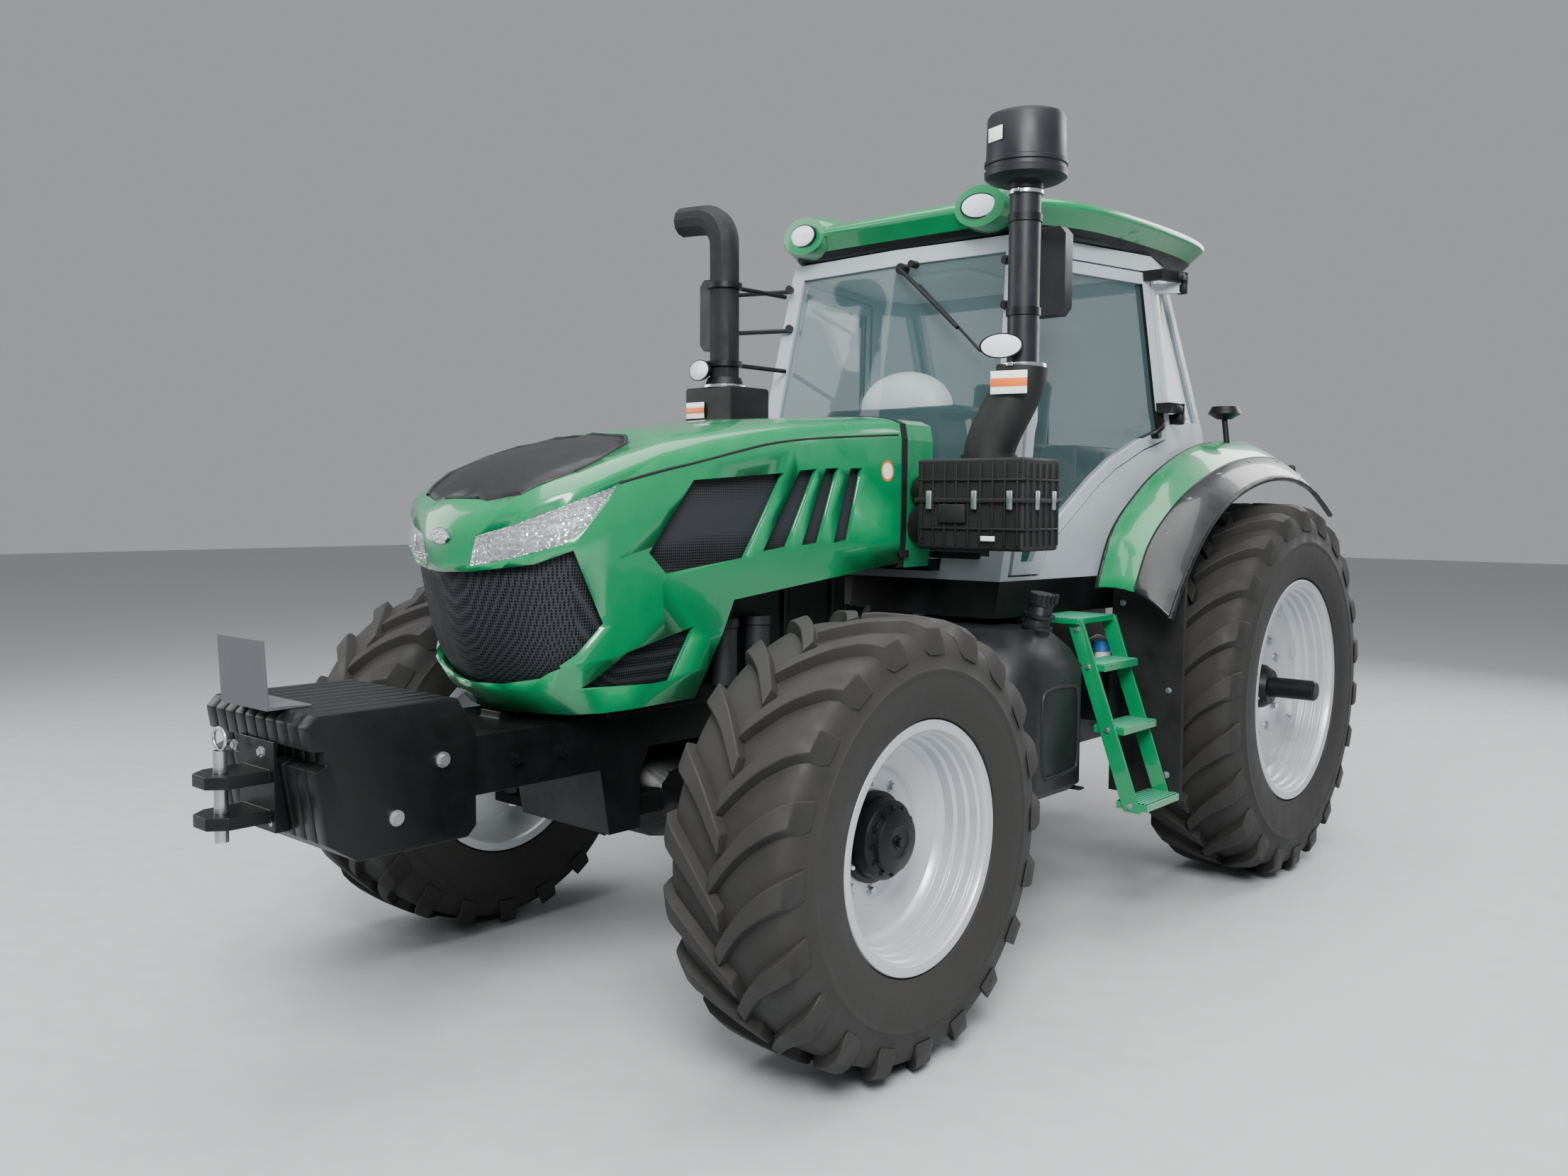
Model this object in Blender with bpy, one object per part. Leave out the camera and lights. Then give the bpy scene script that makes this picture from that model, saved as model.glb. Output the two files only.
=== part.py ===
"""Farm tractor with cab, four driven wheels, front ballast and rear three-point linkage.

Metres, +Z up. The tractor faces -Y, and +X is its left side. The origin is on the floor,
under the middle of the whole machine. Left and right pieces come from one function each,
which builds the left piece and mirrors it for the right.
"""
import math

import bmesh
import bpy
from mathutils import Matrix, Vector

# ---- driving dimensions ----------------------------------------------------------------
WHEELBASE = 2.90
FRONT_AXLE_Y = -1.215
REAR_AXLE_Y = FRONT_AXLE_Y + WHEELBASE
FRONT_AXLE_Z = 0.690            # height of the front wheel centres
REAR_AXLE_Z = 0.862             # height of the rear wheel centres
FRONT_TRACK = 2.03              # between the middles of the front tyres
REAR_TRACK = 2.16               # between the middles of the rear tyres
FRONT_TYRE_WIDTH = 0.47
REAR_TYRE_WIDTH = 0.48
FRONT_RIM = 0.356               # radius of the bead seat
REAR_RIM = 0.483
RIM_FLANGE = 0.025              # height of the rim's flange over the bead seat
WHEEL_STEPS = 24
KINGPIN_X = 0.76

HOOD_REAR_Y = -0.25
HOOD_NOSE_Y = -2.055
HOOD_HALF_WIDTH = 0.425
HOOD_BOTTOM_Z = 1.04
HOOD_WALL = 0.016
HOOD_HINGE_Y = -0.244          # the hood turns about its top rear edge
HOOD_HINGE_Z = 2.075

CAB_FLOOR_Z = 1.26
CAB_BELT_Z = 2.05
CAB_TOP_Z = 2.815
CAB_WALL = 0.045
GLASS_THICKNESS = 0.006
GLASS_DEPTH = 0.014             # from the cab's outer face to the glass
DOOR_HINGE_X = 0.900
DOOR_HINGE_Y = 1.215
DOOR_GAP = 0.008
DOOR_FRONT_GAP = 0.022          # more room at the swinging edge
DOOR_BAR = 0.050                # width of the bar round the door's glass
ROOF_TOP_Z = 3.035

WEIGHT_HALF_WIDTH = 0.29
WEIGHT_FRONT_Y = -2.655
WEIGHT_REAR_Y = -2.135
WEIGHT_BOTTOM_Z = 0.74
WEIGHT_TOP_Z = 1.150
HITCH_TIP_Y = -2.810            # foremost point of the tractor

SEAT_GAP = 0.0003               # between solids that rest on each other

# ---- finishes --------------------------------------------------------------------------


def finish(name, colour, roughness, metallic=0.0, transmission=0.0):
    """A plain Principled material."""
    material = bpy.data.materials.new(name)
    material.use_nodes = True
    shader = material.node_tree.nodes["Principled BSDF"]
    shader.inputs["Base Color"].default_value = (*colour, 1.0)
    shader.inputs["Roughness"].default_value = roughness
    shader.inputs["Metallic"].default_value = metallic
    shader.inputs["Transmission Weight"].default_value = transmission
    material.diffuse_color = (*colour, 1.0)
    return material


for leftover in list(bpy.data.objects):
    bpy.data.objects.remove(leftover)

GREEN = finish("green_paint", (0.010, 0.300, 0.085), 0.25)
BLACK = finish("black_paint", (0.015, 0.015, 0.017), 0.40)
CHARCOAL = finish("charcoal_plastic", (0.045, 0.047, 0.050), 0.55)
MESH = finish("black_mesh", (0.012, 0.012, 0.013), 0.60)
RUBBER = finish("tyre_rubber", (0.035, 0.033, 0.031), 0.85)
SILVER = finish("silver_paint", (0.55, 0.56, 0.58), 0.35, 0.6)
GLASS = finish("tinted_glass", (0.55, 0.72, 0.70), 0.05, 0.0, 0.9)
LENS = finish("lamp_lens", (0.85, 0.87, 0.90), 0.10, 0.0, 0.6)
CLOTH = finish("seat_cloth", (0.05, 0.05, 0.055), 0.90)
PLATE = finish("grey_plate", (0.10, 0.10, 0.11), 0.50)

# ---- making shapes ---------------------------------------------------------------------


def block(bm, low, high):
    """A box between two corners."""
    centre = (Vector(low) + Vector(high)) / 2
    size = Vector(high) - Vector(low)
    turn = Matrix.Translation(centre) @ Matrix.Diagonal((*size, 1.0))
    bmesh.ops.create_cube(bm, size=1.0, matrix=turn)


def prism(bm, outline, axis, start, end):
    """An outline pushed along X (its points are y, z), Y (x, z) or Z (x, y)."""
    place = {"X": lambda a, b, c: (c, a, b), "Y": lambda a, b, c: (a, c, b), "Z": lambda a, b, c: (a, b, c)}[axis]
    corners = [bm.verts.new(place(a, b, start)) for a, b in outline]
    cap = bm.faces.new(corners)
    pushed = bmesh.ops.extrude_face_region(bm, geom=[cap])["geom"]
    way = Vector(place(0.0, 0.0, end - start))
    bmesh.ops.translate(bm, verts=[v for v in pushed if isinstance(v, bmesh.types.BMVert)], vec=way)
    bmesh.ops.recalc_face_normals(bm, faces=bm.faces)


def loft(bm, rings):
    """Closed rings with as many points each, joined in turn and capped at both ends."""
    loops = [[bm.verts.new(point) for point in ring] for ring in rings]
    for one, two in zip(loops, loops[1:]):
        for i, corner in enumerate(one):
            bm.faces.new((one[i - 1], corner, two[i], two[i - 1]))
    bm.faces.new(loops[0])
    bm.faces.new(loops[-1])
    bmesh.ops.recalc_face_normals(bm, faces=bm.faces)


def turned(bm, profile, axis, centre, steps, start=0.0):
    """A closed profile of (along, radius) points turned about X, Y or Z through centre."""
    way = {"X": Vector((1, 0, 0)), "Y": Vector((0, 1, 0)), "Z": Vector((0, 0, 1))}[axis]
    out = {"X": Vector((0, 0, -1)), "Y": Vector((0, 0, -1)), "Z": Vector((1, 0, 0))}[axis]
    out.rotate(Matrix.Rotation(start, 3, way))
    corners = [bm.verts.new(Vector(centre) + way * along + out * radius) for along, radius in profile]
    edges = [bm.edges.new((a, b)) for a, b in zip(corners, corners[1:])]
    if min(profile[0][1], profile[-1][1]) > 0:
        edges.append(bm.edges.new((corners[-1], corners[0])))
    bmesh.ops.spin(bm, geom=corners + edges, cent=centre, axis=way, angle=math.tau, steps=steps, use_merge=True)
    bmesh.ops.remove_doubles(bm, verts=bm.verts, dist=0.00001)
    bmesh.ops.recalc_face_normals(bm, faces=bm.faces)


def rod(bm, start, end, radius, steps=10, end_radius=None):
    """A round bar between two points."""
    way = Vector(end) - Vector(start)
    turn = Matrix.Translation((Vector(start) + Vector(end)) / 2) @ way.to_track_quat("Z", "Y").to_matrix().to_4x4()
    bmesh.ops.create_cone(bm, cap_ends=True, segments=steps, radius1=radius,
                          radius2=radius if end_radius is None else end_radius, depth=way.length, matrix=turn)


def sheet(bm, columns, rows, place):
    """A grid whose point at (u, v), each from 0 to 1, goes where place says."""
    made = bmesh.ops.create_grid(bm, x_segments=columns, y_segments=rows, size=0.5)
    for vert in made["verts"]:
        vert.co = place(vert.co.x + 0.5, vert.co.y + 0.5)
    bmesh.ops.remove_doubles(bm, verts=bm.verts, dist=0.00001)


def solid(name, make, material, side=1, hidden=False):
    """An object from a function that fills a bmesh with the left piece; side -1 mirrors it."""
    bm = bmesh.new()
    make(bm)
    if side < 0:
        bmesh.ops.scale(bm, vec=(-1, 1, 1), verts=bm.verts)
        bmesh.ops.reverse_faces(bm, faces=bm.faces)
    if all(edge.is_manifold for edge in bm.edges) and bm.calc_volume(signed=True) < 0:
        bmesh.ops.reverse_faces(bm, faces=bm.faces)
    mesh = bpy.data.meshes.new(name)
    bm.to_mesh(mesh)
    bm.free()
    mesh.shade_smooth()
    mesh.set_sharp_from_angle(angle=math.radians(35))
    piece = bpy.data.objects.new(name, mesh)
    piece.data.materials.append(material)
    bpy.context.scene.collection.objects.link(piece)
    if hidden:
        piece.hide_render = True
        piece.display_type = "WIRE"
    return piece


def change(piece, operation, make, side=1):
    """Join, cut or keep the overlap of a piece with the shape that a function makes."""
    tool = solid("tool_" + piece.name, make, MESH, side, hidden=True)
    modifier = piece.modifiers.new(operation.lower(), "BOOLEAN")
    modifier.operation = operation
    modifier.object = tool
    return piece


def on_axis(name, point, pieces):
    """Parent moving pieces to an empty that stands on their joint's axis."""
    pivot = bpy.data.objects.new(name, None)
    pivot.location = point
    bpy.context.scene.collection.objects.link(pivot)
    for piece in pieces:
        piece.parent = pivot
        piece.matrix_parent_inverse = Matrix.Translation(-Vector(point))
    return pivot


def between(table, at):
    """Read a value from (position, value) points joined by straight lines."""
    for (a, low), (b, high) in zip(table, table[1:]):
        if at <= b:
            return low + (high - low) * max(0.0, at - a) / (b - a)
    return table[-1][1]


SIDES = (("left", 1), ("right", -1))

# ---- wheels ----------------------------------------------------------------------------


def tyre_profile(radius, width, seat):
    """Section of a tyre as (along, radius): beads, bulging walls and a flat tread."""
    height = radius - seat
    bead = width * 0.42
    half = [(bead, seat), (bead, seat + RIM_FLANGE + 0.004), (width * 0.50, seat + height * 0.45),
            (width * 0.485, seat + height * 0.84), (width * 0.42, radius)]
    return half + [(-along, level) for along, level in reversed(half)]


def rim_profile(width, seat, disc, hub_front, hub_back, hub):
    """Section of a rim, its disc and hub: flanges, bead seats, dished disc and centre."""
    bead = width * 0.42 + SEAT_GAP
    lip = bead + 0.014
    flange = seat + RIM_FLANGE
    return [(hub_front, 0), (hub_front, hub * 0.8), (hub_front - 0.02, hub), (disc + 0.012, hub),
            (disc + 0.012, seat * 0.62), (disc + 0.035, seat * 0.86), (bead * 0.62, seat * 0.90),
            (lip, seat * 0.965), (lip, flange), (bead, flange), (bead, seat - SEAT_GAP),
            (-bead, seat - SEAT_GAP), (-bead, flange), (-lip, flange), (-lip, seat * 0.965),
            (disc - 0.030, seat * 0.90), (disc - 0.012, seat * 0.60), (disc - 0.012, hub), (hub_back, hub),
            (hub_back, 0)]


def wheel(name, side, place, rolling, width, rim):
    """A tyre and a rim; the flat facets of the tyre touch the floor."""
    outer = rolling / math.cos(math.pi / WHEEL_STEPS)
    start = math.pi / WHEEL_STEPS
    seat = rim[0]
    tyre = solid(name + "_tyre", lambda bm: turned(bm, tyre_profile(outer, width, seat), "X", place, WHEEL_STEPS,
                                                   start), RUBBER, side)
    disc = solid(name + "_rim", lambda bm: turned(bm, rim_profile(width, *rim), "X", place, WHEEL_STEPS, start),
                 SILVER, side)
    return [tyre, disc]


FRONT_HUB_BACK = -0.085         # inner face of the hub, from the middle of the tyre
REAR_HUB_BACK = -0.150
REAR_HUB = 0.105
SHAFT_TIP = 1.38                # how far the bar axle sticks out from the middle
for label, side in SIDES:
    place = (FRONT_TRACK / 2, FRONT_AXLE_Y, FRONT_AXLE_Z)
    pieces = wheel("front_" + label, side, place, FRONT_AXLE_Z, FRONT_TYRE_WIDTH,
                   (FRONT_RIM, 0.0, 0.125, FRONT_HUB_BACK, 0.130))
    on_axis("front_wheel_axis_" + label, (side * place[0], *place[1:]), pieces)
    place = (REAR_TRACK / 2, REAR_AXLE_Y, REAR_AXLE_Z)
    pieces = wheel("rear_" + label, side, place, REAR_AXLE_Z, REAR_TYRE_WIDTH,
                   (REAR_RIM, 0.02, 0.090, REAR_HUB_BACK, REAR_HUB))
    change(pieces[1], "UNION", lambda bm: rod(bm, (1.10, *place[1:]), (SHAFT_TIP, *place[1:]), 0.045, 12), side)
    on_axis("rear_wheel_axis_" + label, (side * place[0], *place[1:]), pieces)

# ---- front axle ------------------------------------------------------------------------

BEAM_END_X = KINGPIN_X - 0.115
PIVOT_FRONT_Y = -1.44           # the frame's feet hold the axle's pivot between them
PIVOT_REAR_Y = -0.99
YOKE_INNER = 0.135              # half the gap between a yoke's ears
YOKE_OUTER = 0.172


def axle_beam(bm):
    """Differential housing and tapered beam."""
    turned(bm, [(-0.19, 0), (-0.19, 0.10), (-0.10, 0.165), (0.10, 0.165), (0.19, 0.10), (0.19, 0)], "X",
           (0, FRONT_AXLE_Y, FRONT_AXLE_Z), 16)


def axle_arm(bm):
    rod(bm, (0.08, FRONT_AXLE_Y, FRONT_AXLE_Z), (BEAM_END_X, FRONT_AXLE_Y, FRONT_AXLE_Z), 0.105, 12, 0.085)


def axle_yoke(bm):
    """Upright and two ears that hold the kingpins."""
    outline = [(BEAM_END_X - 0.035, -YOKE_OUTER), (KINGPIN_X + 0.055, -YOKE_OUTER), (KINGPIN_X + 0.055, -YOKE_INNER),
               (BEAM_END_X + 0.015, -YOKE_INNER), (BEAM_END_X + 0.015, YOKE_INNER),
               (KINGPIN_X + 0.055, YOKE_INNER), (KINGPIN_X + 0.055, YOKE_OUTER), (BEAM_END_X - 0.035, YOKE_OUTER)]
    prism(bm, [(x, FRONT_AXLE_Z + z) for x, z in outline], "Y", FRONT_AXLE_Y - 0.055, FRONT_AXLE_Y + 0.055)


front_axle = solid("front_axle", axle_beam, BLACK)
change(front_axle, "UNION", lambda bm: rod(bm, (0, PIVOT_FRONT_Y + SEAT_GAP, FRONT_AXLE_Z),
                                           (0, PIVOT_REAR_Y - SEAT_GAP, FRONT_AXLE_Z), 0.055, 12))
for label, side in SIDES:
    change(front_axle, "UNION", axle_arm, side)
    change(front_axle, "UNION", axle_yoke, side)


def knuckle_post(bm):
    half = YOKE_INNER - SEAT_GAP
    rod(bm, (KINGPIN_X, FRONT_AXLE_Y, FRONT_AXLE_Z - half), (KINGPIN_X, FRONT_AXLE_Y, FRONT_AXLE_Z + half), 0.072, 12)


def knuckle_spindle(bm):
    """Final drive housing that the hub turns on."""
    tip = FRONT_TRACK / 2 + FRONT_HUB_BACK - SEAT_GAP
    rod(bm, (KINGPIN_X + 0.02, FRONT_AXLE_Y, FRONT_AXLE_Z), (tip, FRONT_AXLE_Y, FRONT_AXLE_Z), 0.105, 14)


for label, side in SIDES:
    knuckle = solid("knuckle_" + label, knuckle_post, BLACK, side)
    change(knuckle, "UNION", knuckle_spindle, side)
    on_axis("kingpin_" + label, (side * KINGPIN_X, FRONT_AXLE_Y, FRONT_AXLE_Z), [knuckle])

# ---- backbone --------------------------------------------------------------------------

FRAME_HALF = 0.23
FRAME_TOP = 1.02
FRAME_BELLY = FRONT_AXLE_Z + 0.20
ENGINE_FRONT_Y = -1.62
ENGINE_REAR_Y = -0.40
ENGINE_TOP_Z = 1.74
ENGINE_HALF = 0.27


def frame_shape(bm):
    """Cast front frame, seen from the side: bearing feet before and behind the axle."""
    outline = [(WEIGHT_REAR_Y + SEAT_GAP, 0.84), (-1.62, 0.84), (-1.58, 0.62), (PIVOT_FRONT_Y, 0.62), (PIVOT_FRONT_Y, 0.80),
               (-1.40, FRAME_BELLY), (-1.03, FRAME_BELLY), (PIVOT_REAR_Y, 0.80), (PIVOT_REAR_Y, 0.62), (-0.86, 0.62), (-0.80, 0.72), (ENGINE_REAR_Y, 0.72),
               (ENGINE_REAR_Y, FRAME_TOP), (WEIGHT_REAR_Y + SEAT_GAP, FRAME_TOP)]
    prism(bm, outline, "X", -FRAME_HALF, FRAME_HALF)


front_frame = solid("front_frame", frame_shape, BLACK)
change(front_frame, "UNION", lambda bm: block(bm, (-0.05, -1.880, 1.00), (0.05, -1.835, HOOD_BOTTOM_Z + 0.0055)))
solid("engine_block", lambda bm: block(bm, (-ENGINE_HALF, ENGINE_FRONT_Y, FRAME_TOP + SEAT_GAP),
                                       (ENGINE_HALF, ENGINE_REAR_Y, ENGINE_TOP_Z)), BLACK)

HOUSING_HALF = 0.27
HOUSING_REAR_Y = 2.02
TRUMPET_END = REAR_TRACK / 2 + REAR_HUB_BACK - SEAT_GAP


def housing(bm):
    """Clutch, gearbox and rear axle housing, seen from the side."""
    under_cab = CAB_FLOOR_Z - SEAT_GAP
    outline = [(ENGINE_REAR_Y + SEAT_GAP, 0.62), (0.90, 0.58), (1.40, 0.50), (HOUSING_REAR_Y, 0.50),
               (HOUSING_REAR_Y, 1.00), (1.70, 1.14), (1.62, under_cab), (1.30, under_cab), (1.10, 1.16),
               (0.20, 1.16), (0.05, under_cab), (-0.06, under_cab), (ENGINE_REAR_Y + SEAT_GAP, 1.32)]
    prism(bm, outline, "X", -HOUSING_HALF, HOUSING_HALF)


def trumpet(bm):
    """Axle trumpet and brake flange, up to the wheel's hub."""
    turned(bm, [(0.20, 0), (0.20, 0.19), (0.36, 0.17), (0.50, 0.12), (0.80, 0.11), (0.83, 0.14),
                (TRUMPET_END, 0.14), (TRUMPET_END, 0)], "X", (0, REAR_AXLE_Y, REAR_AXLE_Z), 16)


LINK_PIVOT = (0.335, 1.900, 0.560)
LINK_END = (0.420, 2.810, 0.560)
LINK_HALF = 0.020
LIFT_SHAFT = (0.0, 1.880, 1.320)
LIFT_SHAFT_RADIUS = 0.050

transmission = solid("transmission", housing, BLACK)
LIFT_HOUSING_TOP = LIFT_SHAFT[2] - LIFT_SHAFT_RADIUS - SEAT_GAP
change(transmission, "UNION", lambda bm: block(bm, (-0.16, 1.72, 0.95), (0.16, 2.00, LIFT_HOUSING_TOP)))
change(transmission, "UNION", lambda bm: block(bm, (-0.045, 1.95, 0.91), (0.045, 2.09, 1.10)))
for label, side in SIDES:
    change(transmission, "UNION", trumpet, side)
    boss_end = LINK_PIVOT[0] - LINK_HALF - SEAT_GAP
    change(transmission, "UNION", lambda bm: rod(bm, (0.22, *LINK_PIVOT[1:]), (boss_end, *LINK_PIVOT[1:]), 0.045), side)
solid("drawbar", lambda bm: block(bm, (-0.045, 1.20, 0.455), (0.045, 2.45, 0.50 - SEAT_GAP)), BLACK)

# ---- front ballast ---------------------------------------------------------------------


def weights(bm):
    """A row of plates clamped together, seen from the side."""
    outline = [(WEIGHT_FRONT_Y + 0.05, WEIGHT_BOTTOM_Z + 0.06), (WEIGHT_FRONT_Y + 0.14, WEIGHT_BOTTOM_Z),
               (WEIGHT_REAR_Y - 0.03, WEIGHT_BOTTOM_Z), (WEIGHT_REAR_Y, WEIGHT_BOTTOM_Z + 0.03),
               (WEIGHT_REAR_Y, WEIGHT_TOP_Z - 0.10), (WEIGHT_REAR_Y - 0.06, WEIGHT_TOP_Z),
               (WEIGHT_FRONT_Y + 0.03, WEIGHT_TOP_Z), (WEIGHT_FRONT_Y, WEIGHT_TOP_Z - 0.03)]
    prism(bm, outline, "X", -WEIGHT_HALF_WIDTH, WEIGHT_HALF_WIDTH)


solid("front_weights", weights, BLACK)

HITCH_Z = 0.90
HITCH_HALF = 0.075


def weight_face(z):
    """Where the leaning front of the weights stands at a height."""
    return between([(WEIGHT_BOTTOM_Z + 0.06, WEIGHT_FRONT_Y + 0.05), (WEIGHT_TOP_Z - 0.03, WEIGHT_FRONT_Y)], z)


def hitch(bm):
    """Back plate of the towing fork: flat on the weights, upright in front."""
    front = weight_face(HITCH_Z) - 0.030
    outline = [(weight_face(0.81) - SEAT_GAP, 0.81), (weight_face(1.06) - SEAT_GAP, 1.06), (front, 1.06), (front, 0.81)]
    prism(bm, outline, "X", -0.10, 0.10)


def hitch_jaw(bm, level):
    foot = weight_face(level) - 0.012
    outline = [(-HITCH_HALF, foot), (HITCH_HALF, foot), (HITCH_HALF, HITCH_TIP_Y + 0.045),
               (HITCH_HALF * 0.5, HITCH_TIP_Y), (-HITCH_HALF * 0.5, HITCH_TIP_Y), (-HITCH_HALF, HITCH_TIP_Y + 0.045)]
    prism(bm, outline, "Z", level, level + 0.035)


front_hitch = solid("front_hitch", hitch, BLACK)
for level in (HITCH_Z - 0.065, HITCH_Z + 0.045):
    change(front_hitch, "UNION", lambda bm: hitch_jaw(bm, level))
change(front_hitch, "UNION", lambda bm: rod(bm, (0, HITCH_TIP_Y + 0.06, HITCH_Z - 0.09),
                                            (0, HITCH_TIP_Y + 0.06, HITCH_Z + 0.14), 0.018, 10))

PLATE_HALF = 0.13


def plate(bm):
    """Blank number plate on its bent bracket, which stands on the weights."""
    foot = WEIGHT_TOP_Z + SEAT_GAP
    outline = [(WEIGHT_FRONT_Y + 0.10, foot), (WEIGHT_FRONT_Y + 0.10, foot + 0.006), (WEIGHT_FRONT_Y - 0.02, foot + 0.012),
               (WEIGHT_FRONT_Y - 0.03, foot + 0.19), (WEIGHT_FRONT_Y - 0.036, foot + 0.19),
               (WEIGHT_FRONT_Y - 0.028, foot)]
    prism(bm, outline, "X", -PLATE_HALF, PLATE_HALF)


solid("number_plate", plate, PLATE)

# ---- hood ------------------------------------------------------------------------------

HOOD_NOSE_LINE = ((1.04, -1.86), (1.15, -1.965), (1.30, -2.015), (1.50, -2.052), (1.60, HOOD_NOSE_Y))
HOOD_WIDTH_LINE = ((1.04, 0.345), (1.25, 0.395), (1.55, 0.422), (1.75, HOOD_HALF_WIDTH))
HOOD_SHOULDER_LINE = ((-2.06, 1.615), (-1.95, 1.655), (-1.70, 1.755), (-1.30, 1.870), (-0.95, 1.930), (-0.25, 1.985))
HOOD_CREST_LINE = ((-2.06, 1.70), (-1.95, 1.765), (-1.75, 1.850), (-1.486, 1.935), (-0.945, 2.015), (-0.25, 2.060))
NOSE_CORNER = 0.24              # plan radius of the nose's corners
NOSE_BOW = 0.050                # how far the middle of the nose stands ahead of its corners


def hood_plan(along):
    """Unit U from the rear left (0), round the nose (0.5), to the rear right (1): side, y."""
    t = abs(2 * along - 1)
    side = 1 if along < 0.5 else -1
    corner_y = HOOD_NOSE_Y + NOSE_BOW + NOSE_CORNER
    if t > 0.45:
        return side, corner_y + (HOOD_REAR_Y - corner_y) * (t - 0.45) / 0.55
    if t > 0.2:
        angle = (0.45 - t) / 0.25 * math.pi / 2
        across = 1 - NOSE_CORNER * (1 - math.cos(angle)) / HOOD_HALF_WIDTH
        return side * across, corner_y - NOSE_CORNER * math.sin(angle)
    flat = t / 0.2
    across = (1 - NOSE_CORNER / HOOD_HALF_WIDTH) * flat
    return side * across, HOOD_NOSE_Y + NOSE_BOW * flat ** 2


def hood_skin(along, rise):
    """A point of the hood's outer face: rise is 0 at the lower edge, 0.6 at the shoulder, 1 at the crest."""
    across, y = hood_plan(along)
    shoulder = between(HOOD_SHOULDER_LINE, y)
    if rise <= 0.6:
        z = HOOD_BOTTOM_Z + (shoulder - HOOD_BOTTOM_Z) * rise / 0.6
        width = between(HOOD_WIDTH_LINE, z)
        nose = between(HOOD_NOSE_LINE, z)
        stretch = (HOOD_REAR_Y - nose) / (HOOD_REAR_Y - HOOD_NOSE_Y)
        return Vector((across * width, HOOD_REAR_Y + (y - HOOD_REAR_Y) * stretch, z))
    angle = (rise - 0.6) / 0.4 * math.pi / 2
    inset = 1 - math.cos(angle) ** 0.8
    swell = math.sin(angle) ** 0.55
    width = between(HOOD_WIDTH_LINE, shoulder) * (1 - inset)
    depth = (HOOD_REAR_Y - y) * inset * HOOD_HALF_WIDTH / (HOOD_REAR_Y - HOOD_NOSE_Y)
    y_here = y + depth
    z = between(HOOD_SHOULDER_LINE, y_here)
    z += (between(HOOD_CREST_LINE, y_here) - z) * swell
    return Vector((across * width, y_here, z))


def hood_sheet(bm):
    """The hood's skin, open below and at the rear."""
    sheet(bm, 26, 12, hood_skin)
    bmesh.ops.recalc_face_normals(bm, faces=bm.faces)


def walled(piece, thickness):
    """Give a skin a wall on its inner side."""
    modifier = piece.modifiers.new("wall", "SOLIDIFY")
    modifier.thickness = thickness
    modifier.offset = -1.0
    return piece


def skin_at(depth):
    """The hood's skin moved inwards by depth along its normals."""
    def make(bm):
        hood_sheet(bm)
        for vert, point in [(v, v.co - v.normal * depth) for v in bm.verts]:
            vert.co = point
    return make


def slanted(bm, outline, start, end):
    """A prism along the 45 degree line that points ahead and to the left; its points are (across, z)."""
    prism(bm, outline, "X", start, end)
    bmesh.ops.rotate(bm, cent=(0, 0, 0), matrix=Matrix.Rotation(-math.pi / 4, 3, "Z"), verts=bm.verts)


def grown(outline, amount):
    """An outline moved outwards by amount, or inwards when it is negative."""
    turn = sum(a[0] * b[1] - b[0] * a[1] for a, b in zip(outline, outline[1:] + outline[:1]))
    amount = amount if turn > 0 else -amount
    moved = []
    for before, here, after in zip(outline[-1:] + outline[:-1], outline, outline[1:] + outline[:1]):
        one = (Vector(here) - Vector(before)).normalized()
        two = (Vector(after) - Vector(here)).normalized()
        normal = Vector((one.y + two.y, -one.x - two.x))
        moved.append(tuple(Vector(here) + normal * amount / (1 + one.dot(two))))
    return moved


def mirrored(half):
    """A full outline from its left half, which starts and ends on the middle line."""
    return half + [(-x, z) for x, z in reversed(half) if x > 0]


UNDERSIDE = [(-2.4, 0.9), (-2.4, HOOD_BOTTOM_Z - 0.02), (-1.86, HOOD_BOTTOM_Z + 0.006), (-1.305, 1.057),
             (-1.175, 1.383), (-0.182, 1.486), (0.1, 1.50), (0.1, 0.9)]
GRILLE = mirrored([(0.0, 1.140), (0.125, 1.146), (0.262, 1.171), (0.325, 1.205), (0.325, 1.524), (0.120, 1.498),
                   (0.0, 1.493)])
GRILLE_CORNER = [(-1.180, 1.165), (-1.143, 1.173), (-1.033, 1.248), (-0.955, 1.340), (-1.035, 1.566),
                 (-1.152, 1.524), (-1.180, 1.520)]
HEADLIGHT = [(-1.357, 1.512), (-1.201, 1.545), (-1.056, 1.586), (-0.989, 1.648), (-0.909, 1.762), (-1.060, 1.698),
             (-1.200, 1.644), (-1.334, 1.606)]
SIDE_WINDOW = [(-1.386, 1.783), (-0.944, 1.815), (-1.137, 1.523), (-1.499, 1.483), (-1.578, 1.552)]
LOWER_WINDOW = [(-1.787, 1.139), (-1.645, 1.242), (-1.360, 1.305), (-1.434, 1.130), (-1.521, 1.128)]
SLOTS = ([(-0.860, 1.825), (-0.765, 1.833), (-0.917, 1.558), (-1.047, 1.544)],
         [(-0.715, 1.836), (-0.640, 1.839), (-0.744, 1.568), (-0.842, 1.561)],
         [(-0.570, 1.840), (-0.500, 1.842), (-0.572, 1.576), (-0.664, 1.566)])
VENT = mirrored([(0.0, -1.985), (0.140, -1.980), (0.250, -1.940), (0.335, -1.800), (0.335, -1.700), (0.290, -1.550),
                 (0.200, -1.470), (0.0, -1.440)])
PANEL_GAP = 0.0006              # between the hood and what is let into it
LAMP_DEPTH = 0.050
LINER_DEPTH = HOOD_WALL + 0.012
LINER_WALL = 0.008
HALF_HOOD = 0.6                 # past the hood's side, for cutters

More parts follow.
